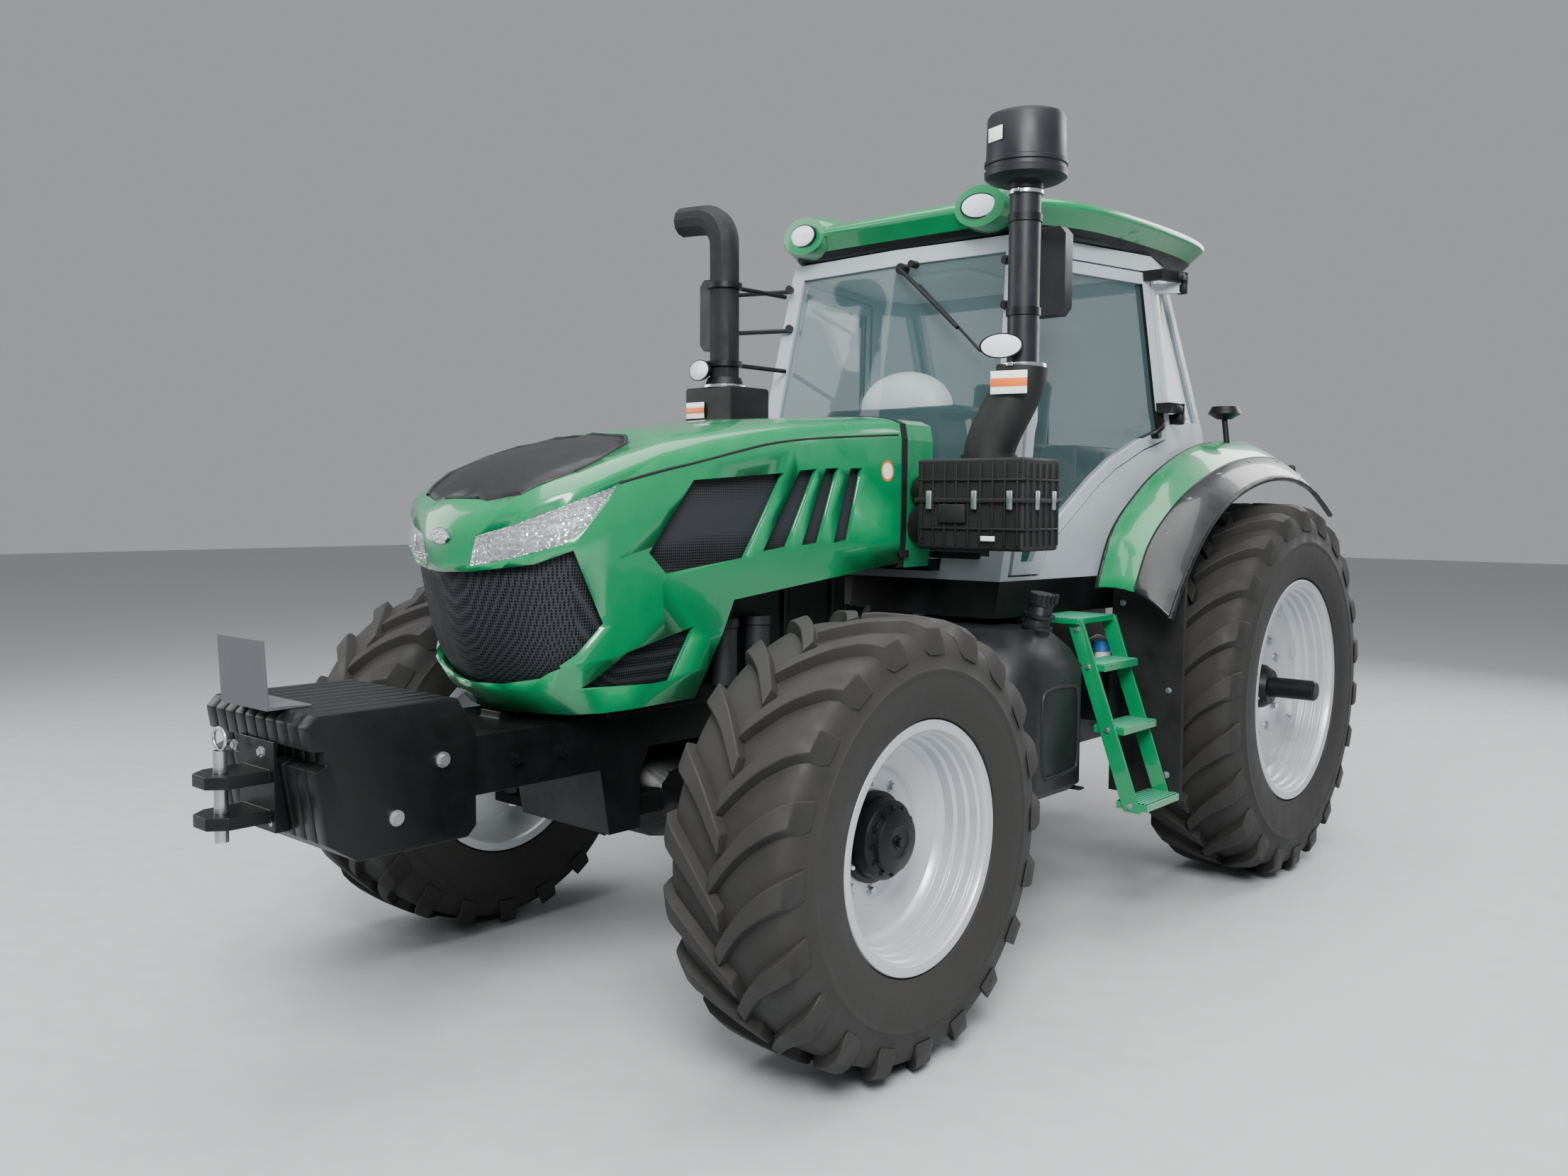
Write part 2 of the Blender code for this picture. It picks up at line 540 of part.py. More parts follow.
hood_shell = walled(solid("hood_shell", hood_sheet, GREEN), HOOD_WALL)
change(hood_shell, "DIFFERENCE", lambda bm: prism(bm, UNDERSIDE, "X", -HALF_HOOD, HALF_HOOD))
change(hood_shell, "DIFFERENCE", lambda bm: prism(bm, GRILLE, "Y", -2.4, -1.70))
change(hood_shell, "DIFFERENCE", lambda bm: prism(bm, VENT, "Z", 1.66, 2.2))
for outline in (SIDE_WINDOW, LOWER_WINDOW, *SLOTS):
    change(hood_shell, "DIFFERENCE", lambda bm: prism(bm, outline, "X", -HALF_HOOD, HALF_HOOD))
for label, side in SIDES:
    change(hood_shell, "DIFFERENCE", lambda bm: slanted(bm, GRILLE_CORNER, 1.2, 1.9), side)
    change(hood_shell, "DIFFERENCE", lambda bm: slanted(bm, HEADLIGHT, 1.2, 1.9), side)

hood_liner = walled(solid("hood_liner", skin_at(LINER_DEPTH), MESH), LINER_WALL)
change(hood_liner, "DIFFERENCE", lambda bm: prism(bm, [(y, z + 0.02) for y, z in UNDERSIDE[:6]] +
                                                  [(0.1, 1.52), (0.1, 0.9)], "X", -HALF_HOOD, HALF_HOOD))
hood_vent = walled(solid("hood_vent", hood_sheet, CHARCOAL), HOOD_WALL)
change(hood_vent, "INTERSECT", lambda bm: prism(bm, grown(VENT, -PANEL_GAP), "Z", 1.66, 2.2))
hood_pieces = [hood_shell, hood_liner, hood_vent]
for label, side in SIDES:
    change(hood_liner, "DIFFERENCE", lambda bm: slanted(bm, HEADLIGHT, 1.2, 1.9), side)
    lamp = walled(solid("headlight_" + label, hood_sheet, LENS), LAMP_DEPTH)
    change(lamp, "INTERSECT", lambda bm: slanted(bm, grown(HEADLIGHT, -PANEL_GAP), 1.2, 1.9), side)
    hood_pieces.append(lamp)
on_axis("hood_hinge", (0, HOOD_HINGE_Y, HOOD_HINGE_Z), hood_pieces)

COWL_FRONT_Y = HOOD_REAR_Y + 0.012
COWL_REAR_Y = -0.040
COWL_WALL = 0.020


def cowl_sheet(bm):
    """Fixed arch behind the hood, with the hood's own rear section."""
    def place(u, v):
        point = hood_skin(0.0 if v < 0.5 else 1.0, 1 - abs(2 * v - 1))
        return Vector((point.x, COWL_FRONT_Y + (COWL_REAR_Y - COWL_FRONT_Y) * u, max(point.z, 1.46)))
    sheet(bm, 1, 24, place)
    bmesh.ops.recalc_face_normals(bm, faces=bm.faces)
    if sum(face.normal.z * face.calc_area() for face in bm.faces) < 0:
        bmesh.ops.reverse_faces(bm, faces=bm.faces)


walled(solid("cowl", cowl_sheet, GREEN), COWL_WALL)

# ---- cab -------------------------------------------------------------------------------

# Each ring: height, middle of the front, corners at the front post, door post and rear post.
CAB_RINGS = ((CAB_FLOOR_Z, -0.030, (0.700, 0.000), (0.790, 1.140), (0.770, 1.690)),
             (1.60, 0.045, (0.705, 0.075), (0.832, 1.160), (0.785, 1.725)),
             (CAB_BELT_Z, 0.140, (0.685, 0.170), (0.865, 1.190), (0.785, 1.735)),
             (CAB_TOP_Z, 0.275, (0.610, 0.310), (0.790, 1.110), (0.720, 1.390)))


def cab_ring(z, depth):
    """The cab's outline at a height, moved inwards by depth; straight between the levels and past them."""
    for lower, upper in zip(CAB_RINGS, CAB_RINGS[1:]):
        if z <= upper[0]:
            break
    share = (z - lower[0]) / (upper[0] - lower[0])
    front = lower[1] + (upper[1] - lower[1]) * share
    posts = [tuple(Vector(one).lerp(Vector(two), share)) for one, two in zip(lower[2:], upper[2:])]
    rear = posts[-1][1]
    outline = mirrored([(0.0, front), *posts, (0.0, rear + 0.01)])
    return [(x, y, z) for x, y in grown(outline, -depth)]


def cab_hull(depth, floor=CAB_FLOOR_Z, top=CAB_TOP_Z):
    """The cab's outer shape moved inwards by depth, as a function that fills a bmesh."""
    def make(bm):
        levels = [floor, *(ring[0] for ring in CAB_RINGS[1:-1]), top]
        loft(bm, [cab_ring(z, depth) for z in levels])
        bmesh.ops.triangulate(bm, faces=bm.faces)
    return make


def post_y(corner, z):
    """How far back the front (0), door (1) or rear (2) post stands at a height."""
    return between([(ring[0], ring[2 + corner][1]) for ring in CAB_RINGS], z)


DOOR_SILL_Z = 1.42
DOOR_HEAD_Z = 2.745
DOOR = [(post_y(0, DOOR_SILL_Z) + 0.05, DOOR_SILL_Z), (0.300, DOOR_SILL_Z), (0.385, 1.560), (0.825, 1.860),
        (1.015, 1.950), (post_y(1, 2.0) - 0.02, 2.000), (post_y(1, DOOR_HEAD_Z) - 0.02, DOOR_HEAD_Z),
        (post_y(0, DOOR_HEAD_Z) + 0.05, DOOR_HEAD_Z), (post_y(0, CAB_BELT_Z) + 0.05, CAB_BELT_Z)]
WINDSCREEN = mirrored([(0.0, 1.50), (0.640, 1.50), (0.545, DOOR_HEAD_Z), (0.0, DOOR_HEAD_Z)])
REAR_WINDOW = mirrored([(0.0, 2.00), (0.700, 2.00), (0.655, 2.72), (0.0, 2.72)])
QUARTER = [(post_y(1, 2.10) + 0.045, 2.100), (post_y(2, 2.10) - 0.065, 2.100),
           (post_y(2, 2.71) - 0.065, 2.710), (post_y(1, 2.71) + 0.045, 2.710)]
FLOOR_THICKNESS = 0.060
PAST = 1.2                      # past the cab's side, for cutters

cab_frame = solid("cab_frame", cab_hull(0.0), BLACK)
change(cab_frame, "DIFFERENCE", cab_hull(CAB_WALL, CAB_FLOOR_Z + FLOOR_THICKNESS, CAB_TOP_Z + 0.1))
change(cab_frame, "UNION", lambda bm: block(bm, (-0.42, COWL_REAR_Y + SEAT_GAP, 1.44), (0.42, 0.05, 1.49)))
change(cab_frame, "DIFFERENCE", lambda bm: prism(bm, WINDSCREEN, "Y", -0.5, 0.6))
change(cab_frame, "DIFFERENCE", lambda bm: prism(bm, REAR_WINDOW, "Y", 1.2, 2.2))
change(cab_frame, "DIFFERENCE", lambda bm: prism(bm, DOOR, "X", -PAST, PAST))
change(cab_frame, "DIFFERENCE", lambda bm: prism(bm, QUARTER, "X", -PAST, PAST))

# Each hinge: height of its middle, plan of the arm from the post and of the arm from the door.
HINGES = ((2.12, [(0.82, 1.198), (0.82, 1.222), (0.90, 1.228), (0.90, 1.198)],
           [(0.835, 1.100), (0.835, 1.145), (0.877, 1.150), (0.888, 1.222), (0.912, 1.215), (0.905, 1.100)]),
          (2.70, [(0.760, 1.122), (0.760, 1.152), (0.895, 1.230), (0.905, 1.200)],
           [(0.770, 1.050), (0.770, 1.082), (0.845, 1.088), (0.888, 1.225), (0.912, 1.215), (0.875, 1.050)]))
HINGE_HALF = 0.045              # height of each half of a hinge


def hinge_half(arm, low, high):
    """An arm and its knuckle on the door's axis, between two heights."""
    def make(bm):
        prism(bm, arm, "Z", low, high)
    return make, lambda bm: rod(bm, (DOOR_HINGE_X, DOOR_HINGE_Y, low - 0.001), (DOOR_HINGE_X, DOOR_HINGE_Y, high), 0.020)


for label, side in SIDES:
    for z, post_arm, door_arm in HINGES:
        for shape in hinge_half(post_arm, z - HINGE_HALF, z):
            change(cab_frame, "UNION", shape, side)


def pane(name, outline, axis, start, end):
    """A glass that fills an opening of the cab."""
    glass = solid(name, cab_hull(GLASS_DEPTH), GLASS)
    change(glass, "DIFFERENCE", cab_hull(GLASS_DEPTH + GLASS_THICKNESS, CAB_FLOOR_Z - 0.1, CAB_TOP_Z + 0.1))
    return change(glass, "INTERSECT", lambda bm: prism(bm, grown(outline, -SEAT_GAP), axis, start, end))


def door_clear(outline):
    """The door's outline inside its opening, with more room at the swinging edge."""
    small = grown(outline, -DOOR_GAP)
    last = len(small) - 1
    moved = DOOR_FRONT_GAP - DOOR_GAP
    return [(y + moved if i in (0, last - 1, last) else y, z) for i, (y, z) in enumerate(small)]


pane("windscreen", WINDSCREEN, "Y", -0.5, 0.6)
pane("rear_window", REAR_WINDOW, "Y", 1.2, 2.2)
door_shape = door_clear(DOOR)
for label, side in SIDES:
    near, far = (0.3, PAST) if side > 0 else (-PAST, -0.3)
    pane("quarter_window_" + label, QUARTER, "X", near, far)
    glazed = grown(door_shape, -DOOR_BAR)
    door = solid("door_frame_" + label, cab_hull(0.0), BLACK)
    change(door, "DIFFERENCE", cab_hull(CAB_WALL - 0.010, CAB_FLOOR_Z - 0.1, CAB_TOP_Z + 0.1))
    change(door, "INTERSECT", lambda bm: prism(bm, door_shape, "X", near, far))
    change(door, "DIFFERENCE", lambda bm: prism(bm, glazed, "X", near, far))
    for z, post_arm, door_arm in HINGES:
        for shape in hinge_half(door_arm, z + 0.001 + SEAT_GAP, z + HINGE_HALF):
            change(door, "UNION", shape, side)
    glass = pane("door_glass_" + label, glazed, "X", near, far)
    on_axis("door_hinge_" + label, (side * DOOR_HINGE_X, DOOR_HINGE_Y, CAB_BELT_Z), [door, glass])

ROOF_EDGE_Z = 2.90
ROOF_BASE = [(0.0, 0.200), (0.500, 0.205), (0.640, 0.250), (0.800, 0.520), (0.850, 1.100), (0.835, 1.560),
             (0.740, 1.740), (0.0, 1.800)]


def roof(bm):
    """Roof panel: flat underside on the cab's top, leaning edge and a low crown."""
    outline = mirrored(ROOF_BASE)
    under = grown(outline, -0.045)
    top = grown(outline, -0.100)
    foot = CAB_TOP_Z + SEAT_GAP
    loft(bm, [[(x, y, foot) for x, y in under], [(x, y, ROOF_EDGE_Z) for x, y in outline],
              [(x, y, ROOF_TOP_Z - 0.035) for x, y in grown(outline, -0.035)], [(x, y, ROOF_TOP_Z) for x, y in top]])


solid("cab_roof", roof, GREEN)

# ---- inside the cab --------------------------------------------------------------------

FLOOR_TOP = CAB_FLOOR_Z + FLOOR_THICKNESS + SEAT_GAP
SEAT_Y = 1.02


def seat_shape(bm):
    """Driver's seat from the side: pedestal, cushion and backrest."""
    outline = [(SEAT_Y - 0.20, FLOOR_TOP), (SEAT_Y + 0.22, FLOOR_TOP), (SEAT_Y + 0.22, 1.66), (SEAT_Y + 0.29, 1.70),
               (SEAT_Y + 0.37, 2.28), (SEAT_Y + 0.33, 2.34), (SEAT_Y + 0.24, 2.32), (SEAT_Y + 0.15, 1.81),
               (SEAT_Y - 0.26, 1.80), (SEAT_Y - 0.29, 1.74), (SEAT_Y - 0.26, 1.66), (SEAT_Y - 0.20, 1.64)]
    prism(bm, outline, "X", -0.25, 0.25)


solid("driver_seat", seat_shape, CLOTH)

COLUMN_Y = 0.70
COLUMN_Z = 2.06
COLUMN_TILT = math.radians(32)


def dashboard_shape(bm):
    """Console under the windscreen, seen from the side, with the column's boss."""
    outline = [(0.23, FLOOR_TOP), (0.44, FLOOR_TOP), (0.44, 1.80), (0.47, 1.95), (0.42, 2.12), (0.23, 2.12)]
    prism(bm, outline, "X", -0.27, 0.27)


def binnacle(bm):
    """Rounded instrument cover on the console."""
    turned(bm, [(-0.20, 0), (-0.20, 0.09), (-0.12, 0.13), (0.12, 0.13), (0.20, 0.09), (0.20, 0)], "X",
           (0, 0.345, 2.15), 16)


dashboard = solid("dashboard", dashboard_shape, CHARCOAL)
change(dashboard, "UNION", binnacle)


def steering_wheel(bm):
    """Rim, hub and spokes, level at the origin before it is tilted onto its column."""
    turned(bm, [(-0.014, 0.185), (0.014, 0.185), (0.020, 0.200), (0.014, 0.215), (-0.014, 0.215), (-0.020, 0.200)], "Z",
           (0, 0, 0), 20)


def tilted(make):
    """Move a shape from the origin to the top of the steering column."""
    def place(bm):
        make(bm)
        turn = Matrix.Translation((0, COLUMN_Y, COLUMN_Z)) @ Matrix.Rotation(-COLUMN_TILT, 4, "X")
        bmesh.ops.transform(bm, matrix=turn, verts=bm.verts)
    return place


wheel_rim = solid("steering_wheel", tilted(steering_wheel), BLACK)
change(wheel_rim, "UNION", tilted(lambda bm: block(bm, (-0.20, -0.018, -0.010), (0.20, 0.018, 0.010))))
change(wheel_rim, "UNION", tilted(lambda bm: rod(bm, (0, 0, -0.028), (0, 0, 0.022), 0.055, 12)))
change(dashboard, "UNION", tilted(lambda bm: rod(bm, (0, 0, -0.52), (0, 0, -0.028 - SEAT_GAP), 0.035, 10)))
on_axis("steering_column", (0, COLUMN_Y, COLUMN_Z), [wheel_rim])

# ---- fenders ---------------------------------------------------------------------------

# Each station: y, height of the inner edge, of the seam and of the outer edge.
FENDER_LINE = ((0.490, 1.380, 1.370, 1.270), (0.600, 1.590, 1.540, 1.410), (0.800, 1.745, 1.685, 1.600),
               (1.050, 1.875, 1.800, 1.740), (1.400, 1.985, 1.900, 1.832), (1.750, 2.020, 1.940, 1.850),
               (2.050, 2.025, 1.930, 1.800), (2.330, 1.950, 1.850, 1.680))
FENDER_INNER_X = 0.880
FENDER_SEAM_X = 1.050
FENDER_OUTER_X = 1.205
FENDER_DEPTH = 0.030
BOARD_Y = 0.660
BOARD_FOOT_Z = 0.50


def fender_band(inner, outer, columns):
    """Part of the fender between two lines along it; columns picks their heights."""
    def make(bm):
        rings = []
        for station in FENDER_LINE:
            y, one, two = station[0], station[columns[0]], station[columns[1]]
            rings.append([(inner, y, one), (outer, y, two), (outer, y, two - FENDER_DEPTH),
                          (inner, y, one - FENDER_DEPTH)])
        loft(bm, rings)
    return make


def fender_foot(bm):
    """Flange that bolts the fender to the side of the cab."""
    block(bm, (0.70, 1.22, 1.86), (FENDER_INNER_X + 0.02, 1.66, 1.89))


def board(bm):
    """Flat guard that hangs before the tyre, seen from the front."""
    outline = [(0.870, BOARD_FOOT_Z), (1.170, BOARD_FOOT_Z), (1.190, 1.30), (FENDER_OUTER_X, 1.47),
               (FENDER_SEAM_X + 0.001, 1.580), (FENDER_SEAM_X + 0.001, 1.545), (0.870, 1.545)]
    prism(bm, outline, "Y", BOARD_Y, BOARD_Y + 0.022)


for label, side in SIDES:
    band = solid("fender_" + label, fender_band(FENDER_INNER_X, FENDER_SEAM_X - SEAT_GAP, (1, 2)), GREEN, side)
    change(band, "UNION", fender_foot, side)
    change(band, "DIFFERENCE", cab_hull(-SEAT_GAP))
    guard = solid("fender_extension_" + label, fender_band(FENDER_SEAM_X, FENDER_OUTER_X, (2, 3)), CHARCOAL, side)
    change(guard, "UNION", board, side)

# ---- tank, battery box and steps -------------------------------------------------------

TANK_FRONT_Y = -0.330
TANK_REAR_Y = 0.215
TANK_INNER_X = HOUSING_HALF + SEAT_GAP
TANK_OUTER_X = 0.995
TANK_BOTTOM_Z = 0.60
TANK_TOP_Z = 1.235


def tank(bm):
    """Moulded tank with chamfered corners, drawn in towards its top."""
    def level(z, draw):
        outer, front, rear = TANK_OUTER_X - draw, TANK_FRONT_Y + draw, TANK_REAR_Y - draw
        plan = [(TANK_INNER_X, front), (outer - 0.19, front), (outer - 0.06, front + 0.05), (outer, front + 0.16),
                (outer, rear - 0.05), (outer - 0.04, rear), (TANK_INNER_X, rear)]
        return [(x, y, z) for x, y in plan]
    loft(bm, [level(TANK_BOTTOM_Z, 0.03), level(TANK_BOTTOM_Z + 0.03, 0.0), level(1.09, 0.0), level(1.16, 0.035),
              level(TANK_TOP_Z, 0.10)])


fuel_tank = solid("fuel_tank", tank, CHARCOAL)
change(fuel_tank, "UNION", lambda bm: rod(bm, (0.85, 0.02, 1.13), (0.90, 0.02, 1.345), 0.060, 12, 0.045))
solid("battery_box", tank, CHARCOAL, -1)

STEP_FRONT_Y = 0.235
STEP_REAR_Y = 0.515
STEP_RAIL = 0.014
STEP_LEAN = 0.36                # how far the rails lean outwards for each metre down


def step_rail(bm, y):
    """Leaning side plate of the steps, seen from the front."""
    foot = 0.525
    top = CAB_FLOOR_Z - SEAT_GAP
    outline = [(0.885, top), (0.955, top), (0.955 + STEP_LEAN * (top - foot), foot), (0.885 + STEP_LEAN * (top - foot), foot)]
    prism(bm, outline, "Y", y, y + STEP_RAIL)


def step_tread(bm, z):
    middle = 0.920 + STEP_LEAN * (CAB_FLOOR_Z - z)
    block(bm, (middle - 0.065, STEP_FRONT_Y + 0.004, z), (middle + 0.065, STEP_REAR_Y + STEP_RAIL - 0.004, z + 0.028))


for label, side in SIDES:
    steps = solid("steps_" + label, lambda bm: block(bm, (0.60, STEP_FRONT_Y - 0.02, CAB_FLOOR_Z - 0.020),
                                                     (0.95, STEP_REAR_Y + 0.03, CAB_FLOOR_Z - SEAT_GAP)), GREEN, side)
    for y in (STEP_FRONT_Y, STEP_REAR_Y):
        change(steps, "UNION", lambda bm: step_rail(bm, y), side)
    for z in (0.535, 0.820, 1.060):
        change(steps, "UNION", lambda bm: step_tread(bm, z), side)

# ---- air cleaner, intake and exhaust ---------------------------------------------------

STACK_BOX_REAR_Y = -0.045
CLEANER = ((0.535, -0.300, 1.540), (1.000, STACK_BOX_REAR_Y, 1.880))
INTAKE_X = 0.880
INTAKE_Y = -0.125
INTAKE_RADIUS = 0.072
DRUM_RADIUS = 0.158
DRUM_BOTTOM_Z = 2.890
DRUM_TOP_Z = 3.135

COWL_SIDE_X = HOOD_HALF_WIDTH + SEAT_GAP

air_cleaner = solid("air_cleaner", lambda bm: block(bm, *CLEANER), CHARCOAL)
change(air_cleaner, "UNION", lambda bm: rod(bm, (COWL_SIDE_X, -0.14, 1.76), (0.60, -0.14, 1.76), 0.060, 12))


def intake(bm):
    """Wide elbow, pipe and the drum of the pre-cleaner."""
    foot = CLEANER[1][2] + SEAT_GAP
    turned(bm, [(foot, 0), (foot, 0.105), (2.02, 0.100), (2.12, 0.082), (2.20, INTAKE_RADIUS), (2.84, INTAKE_RADIUS),
                (2.86, 0.10), (DRUM_BOTTOM_Z, DRUM_RADIUS), (2.96, DRUM_RADIUS), (2.97, DRUM_RADIUS - 0.012),
                (3.10, DRUM_RADIUS - 0.012), (DRUM_TOP_Z - 0.01, 0.13), (DRUM_TOP_Z, 0)], "Z", (INTAKE_X, INTAKE_Y, 0), 20)


solid("intake_stack", intake, CHARCOAL)

EXHAUST_BOX = ((-0.740, -0.285, 1.520), (-0.455, STACK_BOX_REAR_Y, 2.215))
EXHAUST_X = -0.590
EXHAUST_Y = -0.190
EXHAUST_RADIUS = 0.070
EXHAUST_BEND = 0.130
EXHAUST_BEND_Z = 2.930
EXHAUST_TIP_X = -0.860

exhaust_box = solid("exhaust_box", lambda bm: block(bm, *EXHAUST_BOX), BLACK)
change(exhaust_box, "UNION", lambda bm: block(bm, (-0.50, -0.20, 1.60), (-COWL_SIDE_X, -0.10, 1.90)))


def exhaust(bm):
    """Upright pipe that bends out to the side, swept with one ring turned round the bend."""
    foot = EXHAUST_BOX[1][2] + SEAT_GAP

    def ring(centre, turn):
        across, up = Vector((math.cos(turn), 0, math.sin(turn))), Vector((0, 1, 0))
        return [tuple(Vector(centre) + EXHAUST_RADIUS * (math.cos(a) * across + math.sin(a) * up))
                for a in (math.tau * i / 14 for i in range(14))]
    rings = [ring((EXHAUST_X, EXHAUST_Y, foot), 0.0)]
    for i in range(6):
        turn = i / 5 * math.radians(80)
        centre = (EXHAUST_X - EXHAUST_BEND * (1 - math.cos(turn)), EXHAUST_Y, EXHAUST_BEND_Z + EXHAUST_BEND * math.sin(turn))
        rings.append(ring(centre, turn))
    rings.append([(EXHAUST_TIP_X + (0.05 if z > centre[2] else 0.0), y, z) for x, y, z in rings[-1]])
    loft(bm, rings)


solid("exhaust_stack", exhaust, CHARCOAL)

# ---- mirrors ---------------------------------------------------------------------------


def mirror_head(bm, x):
    """Mirror housing, seen from the front."""
    outline = [(x - 0.085, 2.47), (x - 0.060, 2.44), (x + 0.060, 2.44), (x + 0.085, 2.47), (x + 0.085, 2.75),
               (x + 0.060, 2.78), (x - 0.060, 2.78), (x - 0.085, 2.75)]
    prism(bm, outline, "Y", 0.135, 0.195)


def mirror_arm(bm, x, z):
    rod(bm, (0.575, 0.240, z - 0.01), (x, 0.165, z), 0.011, 8)


for label, side, reach in (("left", 1, 0.820), ("right", -1, 0.985)):
    mirror = solid("mirror_" + label, lambda bm: mirror_head(bm, reach), CHARCOAL, side)
    for z in (2.52, 2.70):
        change(mirror, "UNION", lambda bm: mirror_arm(bm, reach, z), side)
    change(mirror, "DIFFERENCE", cab_hull(-SEAT_GAP))

# ---- rear linkage ----------------------------------------------------------------------

LIFT_ARM_Y = 2.330
ROD_JOIN_Y = 2.380


def lift_shaft(bm):
    rod(bm, (-0.36, *LIFT_SHAFT[1:]), (0.36, *LIFT_SHAFT[1:]), LIFT_SHAFT_RADIUS, 12)


def lift_arm(bm):
    prism(bm, [(1.83, 1.30), (1.93, 1.265), (LIFT_ARM_Y + 0.03, 1.345), (LIFT_ARM_Y + 0.03, 1.395), (1.93, 1.375),
               (1.84, 1.365)], "X", 0.325, 0.355)


def lower_link(bm):
    """Flat bar that widens towards its ball end."""
    outline = [(LINK_PIVOT[0] - LINK_HALF, LINK_PIVOT[1] - 0.04), (LINK_PIVOT[0] + LINK_HALF, LINK_PIVOT[1] - 0.04),
               (LINK_END[0] + 0.025, LINK_END[1]), (LINK_END[0] - 0.025, LINK_END[1])]
    prism(bm, outline, "Z", LINK_PIVOT[2] - 0.035, LINK_PIVOT[2] + 0.035)


def lift_rod(bm):
    """Upright rod that stands on the lower link, open at its upper eye."""
    rod(bm, (0.385, ROD_JOIN_Y, LINK_PIVOT[2]), (0.385, ROD_JOIN_Y - 0.02, 1.34), 0.022, 8)


arms = solid("lift_arms", lift_shaft, BLACK)
for label, side in SIDES:
    change(arms, "UNION", lift_arm, side)
    link = solid("lower_link_" + label, lower_link, BLACK, side)
    change(link, "UNION", lift_rod, side)
    on_axis("link_pivot_" + label, (side * LINK_PIVOT[0], *LINK_PIVOT[1:]), [link])
on_axis("lift_axis", LIFT_SHAFT, [arms])
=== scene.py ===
import math
import bmesh
import bpy
from mathutils import Matrix, Vector


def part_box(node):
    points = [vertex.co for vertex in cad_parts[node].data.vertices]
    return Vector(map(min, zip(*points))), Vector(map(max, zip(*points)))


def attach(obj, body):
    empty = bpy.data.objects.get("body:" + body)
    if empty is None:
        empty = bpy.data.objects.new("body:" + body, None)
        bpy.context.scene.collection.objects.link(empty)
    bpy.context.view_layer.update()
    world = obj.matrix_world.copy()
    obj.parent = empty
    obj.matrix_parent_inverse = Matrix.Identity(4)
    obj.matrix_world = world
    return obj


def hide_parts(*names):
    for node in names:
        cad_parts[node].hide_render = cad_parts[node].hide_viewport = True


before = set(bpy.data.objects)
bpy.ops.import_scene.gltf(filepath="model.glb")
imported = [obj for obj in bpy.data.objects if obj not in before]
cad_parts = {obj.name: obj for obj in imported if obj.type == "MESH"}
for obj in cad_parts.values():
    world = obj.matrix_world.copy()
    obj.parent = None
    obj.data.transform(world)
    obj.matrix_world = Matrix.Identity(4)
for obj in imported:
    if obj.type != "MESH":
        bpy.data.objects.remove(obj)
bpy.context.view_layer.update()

link = bpy.context.scene.collection.objects.link
SIDES = (("left", 1), ("right", -1))
UP, DOWN = (0, 0, 1), (0, 0, -1)

# ---- studio ----
# A pale seamless floor under wide soft lamps, as for a sales picture of a machine.
# The camera stands at eye height ahead of the tractor's left front corner.


def linear(code):
    """An sRGB hex colour as linear light."""
    parts = [int(code[i:i + 2], 16) / 255 for i in (0, 2, 4)]
    return (*[p / 12.92 if p <= 0.04045 else ((p + 0.055) / 1.055) ** 2.4 for p in parts], 1.0)


def add(tree, kind, settings=None, links=None):
    """Add one shader node with its settings and links."""
    made = tree.nodes.new("ShaderNode" + kind)
    for key, value in (settings or {}).items():
        if isinstance(key, str) and hasattr(made, key):
            setattr(made, key, value)
        else:
            made.inputs[key].default_value = value
    for key, source in (links or {}).items():
        tree.links.new(source, made.inputs[key])
    return made


def coated(name, slot, light, dark, roughness, grain_mm, depth, **fixed):
    """A finish that drifts between two shades over a hand's width, with a fine grain of a real size."""
    material = bpy.data.materials.new(name)
    material.use_nodes = True
    tree = material.node_tree
    shader = tree.nodes["Principled BSDF"]
    for socket, value in fixed.items():
        shader.inputs[socket.replace("_", " ")].default_value = value
    place = add(tree, "TexCoord").outputs["Object"]
    drift = add(tree, "TexNoise", {"Scale": 9.0, "Detail": 5.0, "Roughness": 0.6},
        {"Vector": place}).outputs["Fac"]
    shade = add(tree, "Mix", {"data_type": "RGBA", 6: linear(dark), 7: linear(light)}, {0: drift})
    tree.links.new(shade.outputs[2], shader.inputs["Base Color"])
    gloss = add(tree, "MapRange", {"From Min": 0.3, "From Max": 0.7, "To Min": roughness * 0.8,
        "To Max": roughness * 1.25}, {"Value": drift})
    tree.links.new(gloss.outputs[0], shader.inputs["Roughness"])
    grain = add(tree, "TexNoise", {"Scale": 1000.0 / grain_mm, "Detail": 2.0}, {"Vector": place}).outputs["Fac"]
    relief = add(tree, "Bump", {"Strength": 0.5, "Distance": depth}, {"Height": grain})
    tree.links.new(relief.outputs[0], shader.inputs["Normal"])
    return material


def perforated(material, scale, limit, solid, opening):
    """Draw the regular openings of a mesh or a punched sheet on a finish; the openings' colour is painted
    shade, the dark seen through them.
    """
    tree = material.node_tree
    place = add(tree, "TexCoord").outputs["Object"]
    cells = {"Scale": scale, "Randomness": 0.0, "feature": "F1"}
    holes = add(tree, "TexVoronoi", cells, {"Vector": place}).outputs["Distance"]
    # The openings are not cut: they get the dark colour as painted shade.
    shade_mask = add(tree, "Math", {"operation": "LESS_THAN", 1: limit}, {0: holes}).outputs[0]
    shade = add(tree, "Mix", {"data_type": "RGBA", 6: linear(solid), 7: linear(opening)}, {0: shade_mask})
    tree.links.new(shade.outputs[2], tree.nodes["Principled BSDF"].inputs["Base Color"])


def embossed(material, kind, settings, output, strength, depth):
    """Put a pressed or woven relief in the place of a finish's grain."""
    tree = material.node_tree
    place = add(tree, "TexCoord").outputs["Object"]
    form = add(tree, kind, settings, {"Vector": place}).outputs[output]
    relief = add(tree, "Bump", {"Strength": strength, "Distance": depth}, {"Height": form})
    tree.links.new(relief.outputs[0], tree.nodes["Principled BSDF"].inputs["Normal"])


